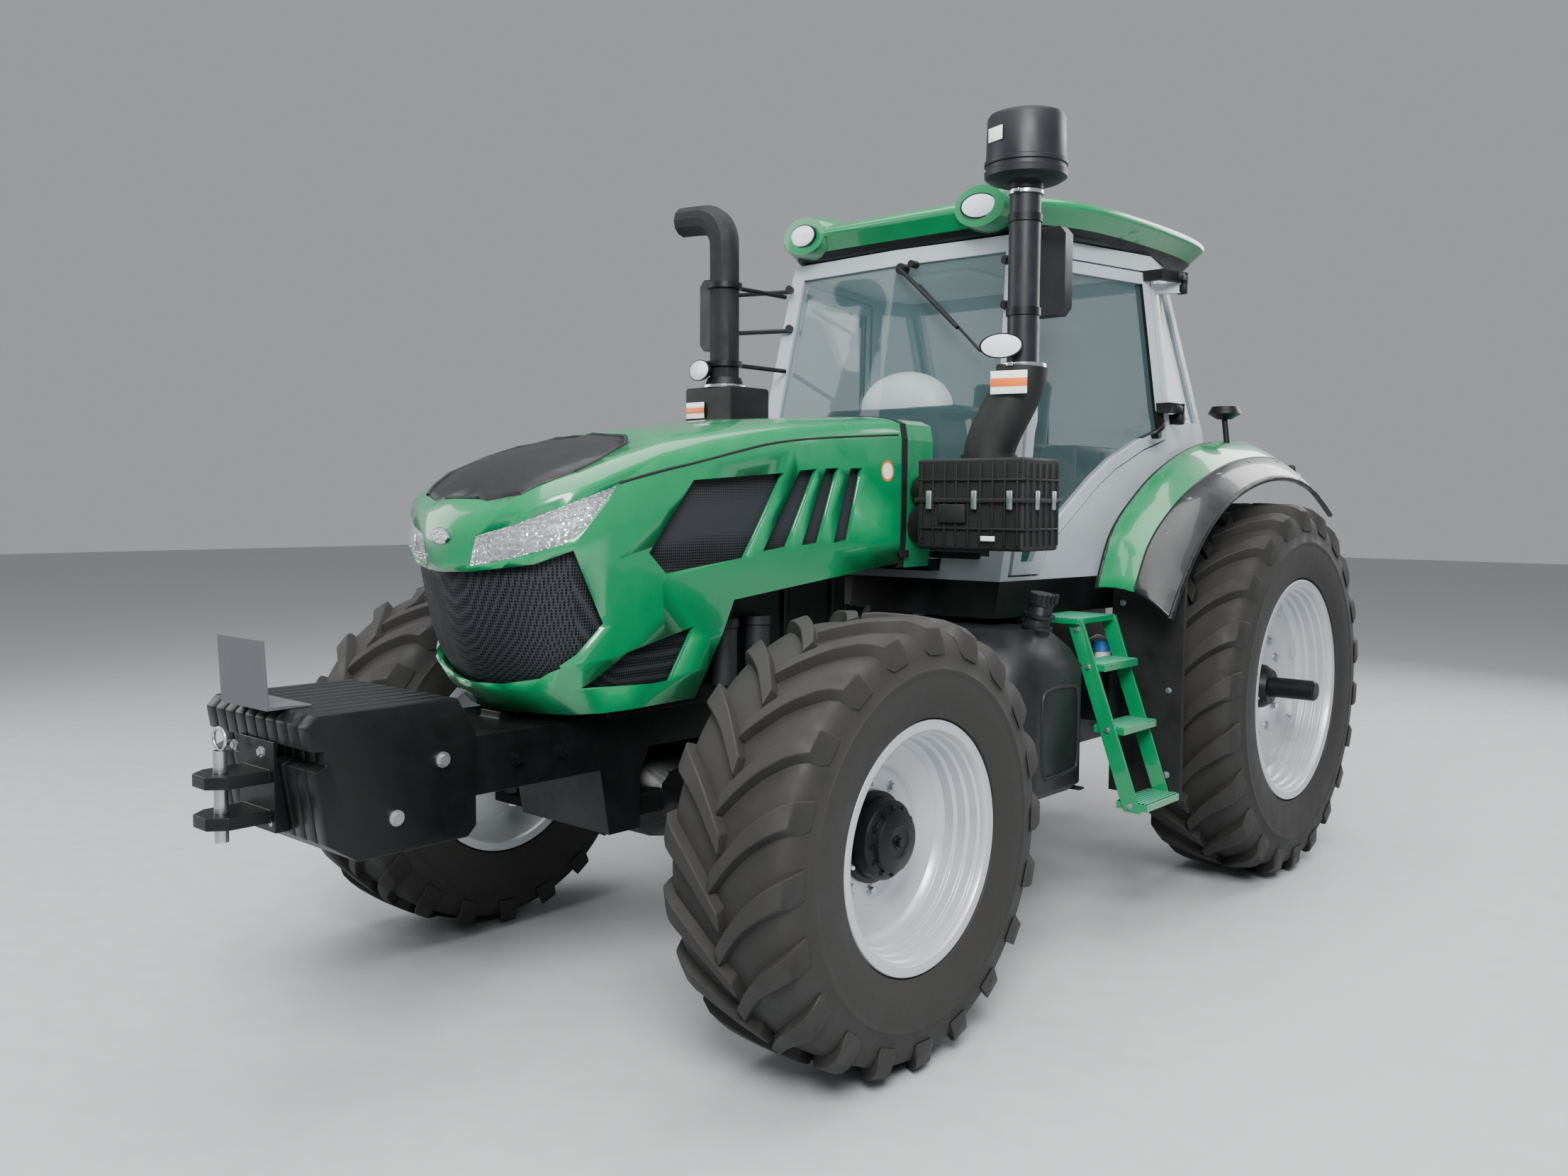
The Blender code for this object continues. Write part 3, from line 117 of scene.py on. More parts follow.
def glazing(name, tint, roughness, alpha, ior, coat_roughness):
    """A clear material: plastic or glass with a polished face."""
    material = bpy.data.materials.new(name)
    material.use_nodes = True
    shader = material.node_tree.nodes["Principled BSDF"]
    for socket, value in (("Base Color", linear(tint)), ("Roughness", roughness), ("Alpha", alpha),
            ("IOR", ior), ("Coat Weight", 1.0), ("Coat Roughness", coat_roughness)):
        shader.inputs[socket].default_value = value
    return material


EYE, HEADING, DIP, ROLL = (3.367, -4.305, 1.712), 41.17, 3.83, 0.354
eye = bpy.data.objects.new("camera", bpy.data.cameras.new("camera"))
eye.data.lens = 29.307
eye.data.sensor_width = 36.0
turn = Matrix.Rotation(math.radians(HEADING), 4, "Z") @ Matrix.Rotation(math.radians(90 - DIP), 4, "X")
eye.matrix_world = Matrix.Translation(EYE) @ turn @ Matrix.Rotation(math.radians(ROLL), 4, "Z")
link(eye)
bpy.context.scene.camera = eye

studio = bpy.context.scene.world or bpy.data.worlds.new("studio")
bpy.context.scene.world = studio
studio.use_nodes = True
studio.node_tree.nodes["Background"].inputs["Color"].default_value = linear("e8ecf0")
studio.node_tree.nodes["Background"].inputs["Strength"].default_value = 0.44
for name, place, size, power in (("key", (5.0, -6.0, 6.5), 3.5, 1250), ("fill", (-6.5, -4.5, 4.0), 5.0, 260),
        ("overhead", (0.5, -0.5, 8.0), 8.0, 750), ("back", (2.0, 8.0, 5.0), 5.0, 450)):
    lamp = bpy.data.objects.new(name, bpy.data.lights.new(name, "AREA"))
    lamp.data.size = size
    lamp.data.energy = power
    lamp.location = place
    lamp.rotation_mode = "QUATERNION"
    lamp.rotation_quaternion = (Vector((0, 0, 1.2)) - Vector(place)).to_track_quat("-Z", "Y")
    link(lamp)

ground = bmesh.new()
bmesh.ops.create_grid(ground, x_segments=1, y_segments=1, size=40)
floor = bpy.data.objects.new("floor", bpy.data.meshes.new("floor"))
ground.to_mesh(floor.data)
ground.free()
floor.data.materials.append(coated("floor_paint", None, "babdbe", "b4b7b8", 0.6, 30.0, 0.0002))
link(floor)

# ---- cast frame and driveline ----
# Cast-iron front frame, engine and gearbox housings bolted end to end, painted satin black.
# They keep their solid shapes, with their edges eased as on a fettled casting.


def traced(node, flat=0.5):
    """A solid of the model as a merged mesh, with its flat faces whole."""
    shape = bmesh.new()
    shape.from_mesh(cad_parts[node].data)
    bmesh.ops.remove_doubles(shape, verts=shape.verts, dist=0.0001)
    if flat:
        bmesh.ops.dissolve_limit(shape, angle_limit=math.radians(flat), verts=shape.verts, edges=shape.edges)
    return shape


def fit(name, shape, material, stands_for=(), body="chassis", slot="", side=1, corner=30, ease=0.0, rounds=0):
    """Finish a piece: smooth it up to an angle, ease its edges, paint it and fix it to its body.

    The slot is not used, and side -1 turns a left piece into the right one.
    """
    if side < 0:
        bmesh.ops.scale(shape, vec=(-1, 1, 1), verts=shape.verts)
        bmesh.ops.recalc_face_normals(shape, faces=shape.faces)
    bmesh.ops.remove_doubles(shape, verts=shape.verts, dist=0.00002)
    mesh = bpy.data.meshes.new(name)
    shape.to_mesh(mesh)
    shape.free()
    mesh.shade_smooth()
    mesh.set_sharp_from_angle(angle=math.radians(corner))
    mesh.materials.append(material)
    piece = bpy.data.objects.new(name, mesh)
    link(piece)
    if ease:
        edge = piece.modifiers.new("edge", "BEVEL")
        edge.width, edge.segments, edge.limit_method = ease, 2, "ANGLE"
        edge.angle_limit, edge.harden_normals = math.radians(corner), True
    if rounds:
        smooth = piece.modifiers.new("rounds", "SUBSURF")
        smooth.levels = smooth.render_levels = rounds
    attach(piece, body)
    if stands_for:
        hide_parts(*stands_for)
    return piece


def finished(name, node, material, flat=0.5, **said):
    """A piece that keeps the shape of one solid and stands for it."""
    return fit(name, traced(node, flat), material, [node], **said)


def slab(shape, low, high, ease=0.0):
    """A box between two corners, its edges rounded by ease."""
    low, high = Vector(low), Vector(high)
    block = Matrix.Translation((low + high) / 2) @ Matrix.Diagonal((*(high - low), 1))
    made = bmesh.ops.create_cube(shape, size=1.0, matrix=block)["verts"]
    if ease:
        edges = list(dict.fromkeys(edge for vert in made for edge in vert.link_edges))
        bmesh.ops.bevel(shape, geom=edges, offset=ease, segments=2, profile=0.5, affect="EDGES", material=-1)


def facing(way):
    """The turn that points Z along way."""
    return Vector(way).to_track_quat("Z", "Y").to_matrix().to_4x4()


def bar(shape, start, end, radius, end_radius=None, sides=16):
    """A round bar or cone between two points."""
    start, end = Vector(start), Vector(end)
    turn = Matrix.Translation((start + end) / 2) @ facing(end - start)
    bmesh.ops.create_cone(shape, cap_ends=True, segments=sides, radius1=radius, depth=(end - start).length,
        radius2=radius if end_radius is None else end_radius, matrix=turn)


def lathe(shape, profile, axis, centre, steps=64):
    """A profile of (along, radius) points turned about X, Y or Z through centre."""
    way = {"X": Vector((1, 0, 0)), "Y": Vector((0, 1, 0)), "Z": Vector((0, 0, 1))}[axis]
    out = Vector((0, 0, 1)) if axis != "Z" else Vector((1, 0, 0))
    corners = [shape.verts.new(Vector(centre) + way * along + out * radius) for along, radius in profile]
    edges = [shape.edges.new((a, b)) for a, b in zip(corners, corners[1:])]
    if min(profile[0][1], profile[-1][1]) > 0:
        edges.append(shape.edges.new((corners[-1], corners[0])))
    bmesh.ops.spin(shape, geom=corners + edges, cent=centre, axis=way, angle=math.tau, steps=steps,
        use_merge=True)
    bmesh.ops.remove_doubles(shape, verts=shape.verts, dist=0.00002)
    bmesh.ops.recalc_face_normals(shape, faces=shape.faces)


def strap(shape, centre, low, high, inner, outer, steps=40):
    """A flat band round an upright pipe."""
    lathe(shape, [(low, inner), (low, outer), (high, outer), (high, inner)], "Z", centre, steps)


def pushed(shape, outline, axis, start, end):
    """An outline pushed along X (points y, z), Y (x, z) or Z (x, y)."""
    def place(a, b, c):
        return {"X": (c, a, b), "Y": (a, c, b), "Z": (a, b, c)}[axis]

    cap = shape.faces.new([shape.verts.new(place(a, b, start)) for a, b in outline])
    made = bmesh.ops.extrude_face_region(shape, geom=[cap])["geom"]
    corners = [item for item in made if isinstance(item, bmesh.types.BMVert)]
    bmesh.ops.translate(shape, verts=corners, vec=place(0, 0, end - start))
    bmesh.ops.recalc_face_normals(shape, faces=shape.faces)


def hose(shape, points, radius, sides=4):
    """A bent tube along a smooth line near the points."""
    line = bpy.data.curves.new("line", "CURVE")
    line.dimensions, line.bevel_depth, line.bevel_resolution, line.use_fill_caps = "3D", radius, sides, True
    run = line.splines.new("NURBS")
    run.points.add(len(points) - 1)
    for point, at in zip(run.points, points):
        point.co = (*at, 1)
    run.order_u, run.use_endpoint_u, run.resolution_u = 3, True, 6
    holder = bpy.data.objects.new("line", line)
    mesh = bpy.data.meshes.new_from_object(holder)
    shape.from_mesh(mesh)
    bpy.data.objects.remove(holder)
    bpy.data.meshes.remove(mesh)
    bpy.data.curves.remove(line)


def bolt(shape, place, way, radius):
    """A hexagon bolt head with its washer, facing along way."""
    place, way = Vector(place), Vector(way).normalized()
    bar(shape, place - way * radius * 0.2, place + way * radius * 0.3, radius * 1.35, sides=16)
    bar(shape, place, place + way * radius * 0.95, radius, radius * 0.94, sides=6)


def mm(*rows):
    """Rows of millimetres as metres."""
    return [tuple(value / 1000 for value in row) for row in rows]


def turned(shape, matrix):
    """Turn, stretch and shift all of a shape."""
    bmesh.ops.transform(shape, matrix=matrix, verts=shape.verts)


def bolt_ring(shape, centre, ring, count, radius, way=1):
    """A ring of bolts round an axle, facing +X or, with way -1, -X."""
    x, y, z = centre
    for i in range(count):
        angle = math.tau * i / count
        bolt(shape, (x, y + ring * math.sin(angle), z + ring * math.cos(angle)), (way, 0, 0), radius)


def cut(shape, at, way, clear=True):
    """Slice a shape by a plane; clear drops what lies ahead of it and closes the opening."""
    bmesh.ops.bisect_plane(shape, geom=[*shape.verts, *shape.edges, *shape.faces], plane_co=at, plane_no=way,
        clear_outer=clear)
    if clear:
        bmesh.ops.holes_fill(shape, edges=[edge for edge in shape.edges if edge.is_boundary])


# Grey cast iron under satin enamel: 3 mm sand-cast grain shows as a soft unevenness.
cast_iron = coated("cast_iron_enamel", "black_paint", "0e0f10", "070808", 0.4, 3.0, 0.0008,
    Specular_IOR_Level=0.3)
# Bare turned or zinc-plated steel on bolts, pins and clamps.
zinc_steel = coated("zinc_plated_steel", "silver_paint", "c9ccd0", "a3a7ad", 0.3, 1.5, 0.0001, Metallic=0.9)
for name in ("front_frame", "engine_block", "transmission", "front_axle", "drawbar", "knuckle_left",
        "knuckle_right"):
    body = name if name.startswith("knuckle") else "chassis"
    finished(name + "_casting", name, cast_iron, body=body, ease=0.006)

# What is bolted to the castings: ribs, sump, covers, filters, pipes and the steering cylinder.
extras = bmesh.new()
for x in (-0.232, 0.232):
    for y in (-1.95, -1.78, -0.74, -0.6, -0.46):
        bolt(extras, (x, y, 0.93), (x, 0, 0), 0.017)
for x in (-0.272, 0.272):
    for y in (-0.36, 0.3, 0.62, 0.94):
        slab(extras, (min(x, x * 1.06), y, 0.66), (max(x, x * 1.06), y + 0.022, 1.14), 0.004)
        bolt(extras, (x * 1.03, y + 0.05, 0.74), (x, 0, 0), 0.014)
slab(extras, (-0.2, -1.5, 0.645), (0.2, -0.5, 0.73), 0.02)
for y in (-1.42, -1.1, -0.78, -0.5):
    slab(extras, (-0.285, y, 1.05), (0.285, y + 0.035, 1.7), 0.006)
slab(extras, (-0.17, -1.52, 1.735), (0.17, -0.52, 1.8), 0.02)
slab(extras, (-0.29, -1.735, 1.1), (0.29, -1.64, 1.6), 0.01)
fit("engine_castings", extras, cast_iron)

fittings = bmesh.new()
for y in (-1.12, -0.95):
    bar(fittings, (0.308, y, 1.08), (0.308, y, 1.28), 0.045, sides=24)
    bar(fittings, (0.308, y, 1.28), (0.308, y, 1.31), 0.05, sides=24)
bar(fittings, (0.26, -1.44, 1.4), (0.26, -1.28, 1.4), 0.055, sides=24)
for x in (-0.31, 0.31):
    hose(fittings, [(x * 0.9, -1.4, 1.52), (x, -1.2, 1.56), (x, -0.8, 1.5), (x * 0.9, -0.6, 1.6)], 0.02)
    hose(fittings, [(x, -0.55, 1.00), (x * 1.15, -0.5, 1.06), (x * 1.1, -0.42, 1.24), (x, -0.3, 1.3)], 0.012)
fit("engine_fittings", fittings, coated("dark_aluminium_casting", "silver_paint", "3c3e41", "2c2e30", 0.45,
    2.0, 0.0004, Metallic=0.6), ease=0.002)

AXLE_Y, ROD_Y, ROD_Z = -1.215, -1.045, 0.7
steering = bmesh.new()
for start, end, radius, sides in ((-0.2, 0.2, 0.038, 24), (-0.34, 0.34, 0.018, 16), (-0.21, -0.19, 0.044, 24),
        (0.19, 0.21, 0.044, 24)):
    bar(steering, (start, ROD_Y, ROD_Z), (end, ROD_Y, ROD_Z), radius, sides=sides)
fit("steering_cylinder", steering, zinc_steel)
for label, side in SIDES:
    arm = bmesh.new()
    for z, way in ((0.527, DOWN), (0.853, UP)):
        bolt(arm, (side * 0.76, AXLE_Y, z), way, 0.03)
    bolt_ring(arm, (side * 0.868, AXLE_Y, 0.69), 0.088, 10, 0.01, -side)
    fit("knuckle_bolts_" + label, arm, zinc_steel, body="knuckle_" + label)

# ---- tyres ----
# Radial tractor tyres: a carcass with bulging walls and two rows of raked rubber bars, moulded in one.
# The bars of the two rows are staggered by half a pitch and lead with their inner ends.


def between(table, at, column):
    """Read one column of a table by its first column, along straight lines."""
    for low, high in zip(table, table[1:]):
        if at <= high[0]:
            break
    share = min(1, max(0, (at - low[0]) / (high[0] - low[0])))
    return low[column] + (high[column] - low[column]) * share


def carcass(shape, centre, radius, seat, width):
    """The smooth part of a tyre between its beads, with the rings moulded on its walls."""
    tall = radius - seat
    half = [(0.4, 0.01), (0.418, 0.05), (0.425, 0.09), (0.455, 0.1), (0.462, 0.14), (0.48, 0.22),
        (0.494, 0.34), (0.5, 0.46), (0.4985, 0.5), (0.502, 0.51), (0.502, 0.54), (0.496, 0.55), (0.488, 0.66),
        (0.47, 0.76), (0.44, 0.83), (0.395, 0.868), (0.3, 0.886), (0.15, 0.895), (0, 0.898)]
    profile = [(width * x, seat + tall * r) for x, r in half]
    lathe(shape, profile + [(-x, r) for x, r in reversed(profile[:-1])], "X", centre, 96)


def tread_row(side, centre, radius, seat, width, count):
    """One row of bars: a long block shaped along a table, then copied round the tyre."""
    tall = radius - seat
    table = [(0, -0.03, 1.000, 0.86, 0.095), (0.45, 0.2, 0.998, 0.86, 0.105), (0.75, 0.38, 0.985, 0.82, 0.125),
        (0.88, 0.47, 0.93, 0.74, 0.14), (1, 0.499, 0.77, 0.66, 0.12)]
    row = bmesh.new()
    bmesh.ops.create_cube(row, size=1.0)
    along = [edge for edge in row.edges if edge.verts[0].co.x * edge.verts[1].co.x < 0]
    bmesh.ops.subdivide_edges(row, edges=along, cuts=9, use_grid_fill=True)
    for vert in row.verts:
        t, across, up = vert.co.x + 0.5, vert.co.y, vert.co.z + 0.5
        x = between(table, t, 1) * width
        low, high = (seat + tall * between(table, t, column) for column in (3, 2))
        bar_width = between(table, t, 4) * radius * (1.18 - 0.36 * up)
        lag = (1.25 * t - 0.3 * t * t) * width * 0.55 + across * bar_width
        angle = lag / radius + (0.0 if side > 0 else math.pi / count)
        reach = low + (high - low) * up
        vert.co = Vector(centre) + Vector((side * x, math.sin(angle) * reach, math.cos(angle) * reach))
    bmesh.ops.recalc_face_normals(row, faces=row.faces)
    geometry = [*row.verts, *row.edges, *row.faces]
    bmesh.ops.spin(row, geom=geometry, cent=centre, axis=(1, 0, 0), angle=math.tau * (count - 1) / count,
        steps=count - 1, use_duplicate=True)
    return row


# Black carbon-filled rubber: dull, a little brown with dust on the walls, 2 mm moulding grain.
tyre_rubber = coated("vulcanised_rubber", "tyre_rubber", "2b2927", "1b1a19", 0.72, 2.0, 0.0006)
WHEELS = (("front", 1.015, AXLE_Y, 0.69, 0.356, 0.47, 20), ("rear", 1.08, 1.685, 0.862, 0.483, 0.48, 22))
for end, x, y, z, seat, width, count in WHEELS:
    for label, side in SIDES:
        centre = (side * x, y, z)
        shape = bmesh.new()
        carcass(shape, centre, z, seat, width)
        body = f"{end}_wheel_{label}"
        fit(f"{end}_{label}_tyre_carcass", shape, tyre_rubber, [f"{end}_{label}_tyre"], body=body, corner=40)
        for row, way in (("outer", side), ("inner", -side)):
            bars = tread_row(way, centre, z, seat, width, count)
            fit(f"{end}_{label}_tyre_bars_{row}", bars, tyre_rubber, body=body, corner=35, ease=0.005)

# ---- rims and hubs ----
# Rolled steel rims with stepped wells, welded to pressed discs and painted silver. The front hubs are
# black planetary housings with a ring of bolts; the rear discs are clamped to black bar axles.

silver_enamel = coated("silver_enamel", "silver_paint", "c3c6ca", "b0b4b9", 0.33, 1.2, 0.00015, Metallic=0.35,
    Coat_Weight=0.3)
RIM_STEPS = {"front": mm((-198, 340), (-211, 350), (-211, 381), (-199, 381), (-198, 356), (198, 356),
    (199, 381), (204, 384), (211, 381), (213, 372), (209, 352), (200, 347), (185, 345.5), (178, 338),
    (150, 336), (143, 327), (112, 325), (104, 315), (72, 312), (62, 300), (46, 292), (34, 270), (22, 245),
    (13, 222), (14, 215), (16, 205), (13, 196), (12, 140), (12, 128), (-12, 128), (-12, 215), (-28, 300)),
    "rear": mm((-203, 463), (-214, 472), (-214, 508), (-203, 508), (-201.9, 483), (201.9, 483), (203, 508),
    (208, 511), (215, 508), (217, 498), (212, 476), (198, 470), (184, 468), (177, 460), (150, 458), (142, 449),
    (110, 447), (100, 437), (80, 434), (71, 420), (58, 410), (50, 360), (36, 310), (31, 290), (31, 115),
    (32, 100), (8, 100), (8, 290), (-10, 435))}
# Where the wheel nuts sit: outward, ring radius, number and size, then the valve's radius.
DISC = {"front": (0.012, 0.17, 10, 0.014, 0.3), "rear": (0.031, 0.235, 12, 0.017, 0.39)}
for end, x, y, z, seat, width, count in WHEELS:
    for label, side in SIDES:
        body = f"{end}_wheel_{label}"
        shape = bmesh.new()
        lathe(shape, RIM_STEPS[end], "X", (x, y, z), 96)
        if end == "rear":
            for i in range(8):
                angle = math.tau * (i + 0.5) / 8
                way = Vector((0, math.sin(angle), math.cos(angle)))
                at = Matrix.Translation(Vector((x + 0.052, y, z)) + way * 0.385)
                lug = Matrix.Rotation(-angle, 4, "X") @ Matrix.Diagonal((0.03, 0.075, 0.05, 1))
                bmesh.ops.create_cube(shape, size=1.0, matrix=at @ lug)
        fit(f"{end}_{label}_rim_steel", shape, silver_enamel, [f"{end}_{label}_rim"], body=body, side=side,
            ease=0.0015)
        nuts, hub = bmesh.new(), bmesh.new()
        face, ring, number, nut, valve = DISC[end]
        bolt_ring(nuts, (x + face, y, z), ring, number, nut)
        bar(nuts, (x + 0.17, y - valve, z), (x + 0.185, y - valve - 0.01, z), 0.006)
        if end == "front":
            lathe(hub, mm((-85, 0), (-85, 115), (13, 115), (13, 142), (30, 142), (32, 126), (80, 122),
                (90, 112), (94, 98), (112, 94), (116, 78), (120, 50), (116, 46), (116, 0)), "X", (x, y, z), 64)
            bolt_ring(hub, (x + 0.092, y, z), 0.103, 12, 0.0075)
            bolt(hub, (x + 0.114, y, z), (1, 0, 0), 0.016)
        else:
            lathe(hub, mm((-150, 0), (-150, 100), (10, 104), (31, 104), (60, 100), (86, 84), (96, 80),
                (98, 47), (120, 45.5), (292, 45.5), (300, 38), (300, 0)), "X", (x, y, z), 48)
            bolt_ring(hub, (x + 0.088, y, z), 0.064, 6, 0.011)
            slab(hub, (x + 0.1, y - 0.007, z + 0.04), (x + 0.285, y + 0.007, z + 0.047), 0.002)
        fit(f"{end}_{label}_wheel_nuts", nuts, zinc_steel, body=body, side=side)
        fit(f"{end}_{label}_hub_cast", hub, cast_iron, body=body, side=side, ease=0.0012)

# ---- front ballast and towing fork ----
# Ten cast suitcase weights hang side by side on the frame, each with a grab slot across its front.
# The heads of two clamping rods show at each end; the fork with its lift-out pin is bolted on in front.

low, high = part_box("front_weights")
WEIGHTS, GAP = 10, 0.0015
thick = (high.x - low.x) / WEIGHTS
outline = [(low.y + 0.052, low.z + 0.058), (low.y + 0.14, low.z), (high.y - 0.03, low.z),
    (high.y, low.z + 0.03), (high.y, high.z - 0.1), (high.y - 0.06, high.z), (low.y + 0.03, high.z),
    (low.y, high.z - 0.03), (low.y + 0.01, high.z - 0.095), (low.y + 0.05, high.z - 0.1),
    (low.y + 0.055, high.z - 0.135), (low.y + 0.02, high.z - 0.15)]
for i in range(WEIGHTS):
    plate = bmesh.new()
    pushed(plate, outline, "X", low.x + i * thick + GAP, low.x + (i + 1) * thick - GAP)
    bmesh.ops.bevel(plate, geom=list(plate.edges), offset=0.006, segments=2, profile=0.5, affect="EDGES",
        material=-1)
    fit(f"suitcase_weight_{i + 1}", plate, cast_iron, ["front_weights"] if i == 0 else ())
rods = bmesh.new()
for y, z in ((-2.4, 0.84), (-2.25, 0.98)):
    for side in (1, -1):
        bolt(rods, (side * high.x, y, z), (side, 0, 0), 0.017)
for x in (-0.075, 0.075):
    for z in (0.835, 1.035):
        bolt(rods, (x, low.y - 0.03 + 0.05 * (1.12 - z) / 0.32, z), (0, -1, 0), 0.011)
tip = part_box("front_hitch")[0].y + 0.06
hose(rods, [(0, tip, 1.035), (-0.03, tip, 1.045), (-0.038, tip, 1.085), (0, tip, 1.105), (0.038, tip, 1.085),
    (0.03, tip, 1.045), (0, tip, 1.035)], 0.005)
bar(rods, (0, tip, 0.79), (0, tip, 1.04), 0.0185, sides=24)
fit("ballast_rods_and_pin", rods, zinc_steel)
finished("towing_fork", "front_hitch", cast_iron, ease=0.005)
# Blank pressed plate on its bent strip, powder-coated grey.
finished("blank_plate", "number_plate", coated("powder_coated_steel", "grey_plate", "55585c", "47494d", 0.45,
    1.0, 0.0001), ease=0.0015)

# ---- hood ----
# One-piece tilting hood, moulded and painted gloss emerald, with dark mesh behind its openings,
# a charcoal scoop panel let into its top and clear wraparound lamps with bright reflectors.

# Two-pack enamel under clear coat: deep green with a hard shine and very slight orange peel.
emerald_enamel = coated("emerald_enamel", "green_paint", "008450", "007645", 0.3, 6.0, 0.00008,
    Coat_Weight=0.8, Coat_Roughness=0.06)
# Grained ABS and polypropylene mouldings: charcoal, half dull, 1.5 mm leather grain.
charcoal_abs = coated("charcoal_abs", "charcoal_plastic", "1a1b1e", "141518", 0.42, 1.5, 0.0003,
    Specular_IOR_Level=0.35)
black_rubber = coated("black_rubber", "charcoal_plastic", "0f0f10", "0a0a0b", 0.65, 2.0, 0.0002)

mesh_steel = coated("expanded_mesh_steel", "black_mesh", "08090a", "040405", 0.55, 3.0, 0.0002,
    Specular_IOR_Level=0.12)
# Openings 9 mm apart, a little coarse so that they read from three metres; they are painted near black as
# painted shade seen through the mesh.
perforated(mesh_steel, 110.0, 0.42, "323438", "08090a")

finished("hood_panel", "hood_shell", emerald_enamel, 0, body="hood", corner=32)
finished("hood_mesh", "hood_liner", mesh_steel, 0, body="hood", corner=40)


def eased_in(node, share):
    """A let-in panel drawn in from its opening, which leaves the dark joint round it."""
    shape = traced(node, 0)
    low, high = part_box(node)
    middle = (low + high) / 2
    for vert in shape.verts:
        vert.co = middle + (vert.co - middle) * share
    return shape


scoop, seal = eased_in("hood_vent", 0.982), bmesh.new()
for edge in scoop.edges:
    upper = max((face.normal.z for face in edge.link_faces), default=0) > 0.4
    if len(edge.link_faces) == 2 and upper and edge.calc_face_angle() > 0.9:
        bar(seal, edge.verts[0].co, edge.verts[1].co, 0.0065, sides=8)
fit("hood_scoop", scoop, charcoal_abs, ["hood_vent"], body="hood", corner=32)
fit("hood_scoop_seal", seal, black_rubber, body="hood")

# Clear polycarbonate over vacuum-metallised bowls.
lamp_glass = glazing("clear_polycarbonate", "f4f7fa", 0.04, 0.1, 1.58, 0.03)
bright_metal = coated("metallised_reflector", "lamp_lens", "f2f4f6", "d9dde2", 0.16, 8.0, 0.001, Metallic=1.0)

# The lamp's tray is the same metal pressed in small optic facets, which break its reflection up.
facet_metal = coated("faceted_reflector", "lamp_lens", "f4f6f8", "aeb4ba", 0.14, 8.0, 0.0005, Metallic=1.0)
embossed(facet_metal, "TexVoronoi", {"Scale": 48.0, "Randomness": 0.7}, "Distance", 1.0, 0.012)
lit_lens = coated("white_lamp_lens", "lamp_lens", "f1f2fb", "d8daea", 0.18, 4.0, 0.0008, Coat_Weight=1.0)
for label, side in SIDES:
    node = "headlight_" + label
    way = Vector((side * 0.707, -0.707, 0.12)).normalized()
    lens, tray = traced(node, 0), traced(node, 0)
    for shape, outer in ((lens, True), (tray, False)):
        bmesh.ops.recalc_face_normals(shape, faces=shape.faces)
        away = [face for face in shape.faces if (face.normal.dot(way) > 0.35) != outer]
        bmesh.ops.delete(shape, geom=away, context="FACES")
    for shape, name, material, thick in ((lens, "headlight_lens_", lamp_glass, 0.003),
            (tray, "headlight_tray_", facet_metal, 0.002)):
        made = fit(name + label, shape, material, [node], body="hood", corner=40)
        wall = made.modifiers.new("wall", "SOLIDIFY")
        wall.thickness, wall.offset = thick, -1.0
    bowls = bmesh.new()
    for t, z, radius in ((0.18, 1.572, 0.037), (0.42, 1.592, 0.04), (0.63, 1.632, 0.034), (0.8, 1.69, 0.026)):
        outer = Vector((0.3, -1.995, z)).lerp(Vector((0.42, -1.7, z)), t)
        outer.x *= side
        bowl = bmesh.new()
        lathe(bowl, [(0, 0), (0.002, radius * 0.4), (0.01, radius * 0.75), (0.022, radius * 0.95),
            (0.03, radius), (0.031, radius * 1.06), (0.026, radius * 1.06), (-0.004, radius * 0.5),
            (-0.004, 0)], "Z", (0, 0, 0), 32)
        lathe(bowl, mm((1, 0), (1, 10), (16, 10), (20, 6), (20, 0)), "Z", (0, 0, 0), 16)
        inward = Vector((-way.x, -way.y, 0)).normalized() * 0.04
        turned(bowl, Matrix.Translation(outer + inward) @ facing((way.x, way.y, 0)))
        copy = bpy.data.meshes.new("bowl")
        bowl.to_mesh(copy)
        bowls.from_mesh(copy)
        bowl.free()
        bpy.data.meshes.remove(copy)
    fit("headlight_bowls_" + label, bowls, bright_metal, body="hood")

# A sunk black joint line runs from each lamp's tip to the rear of the hood.
lines = bmesh.new()
for side in (1, -1):
    hose(lines, [(side * x, y, z) for x, y, z in mm((417.5, -1700, 1768), (421, -1550, 1806),
        (421.5, -1366, 1840), (421.5, -1150, 1888), (419.5, -980, 1921), (419, -700, 1950),
        (419, -270, 1976))], 0.0045, 2)
fit("hood_joint_lines", lines, black_rubber, body="hood", slot="black_mesh")
badge = bmesh.new()
lathe(badge, mm((0, 0), (0, 30), (4, 34), (8, 30), (10, 0)), "Y", (0, 0, 0), 32)
turned(badge, Matrix.Translation((0, -2.06, 1.605)) @ Matrix.Diagonal((1.5, 1, 0.75, 1)))
fit("blank_badge", badge, bright_metal, body="hood", slot="silver_paint")
# Round blank transfer behind the side slots: white with an orange edge.
sticker_white = coated("white_vinyl", "grey_plate", "f2f2ee", "e9e9e4", 0.35, 2.0, 0.00005)
sticker_orange = coated("orange_vinyl", "grey_plate", "e8752a", "dc6820", 0.35, 2.0, 0.00005)
for radius, thick, material, name in ((0.04, 0.0008, sticker_orange, "edge"),
        (0.031, 0.0014, sticker_white, "face")):
    disc = bmesh.new()
    lathe(disc, [(0, 0), (0, radius), (thick, radius), (thick, 0)], "X", (0.4245, -0.341, 1.835), 40)
    fit("round_transfer_" + name, disc, material, body="hood", slot="green_paint")

# ---- cowl ----
# Fixed arch of painted sheet between hood and cab, with a black rubber seal that the hood shuts on.

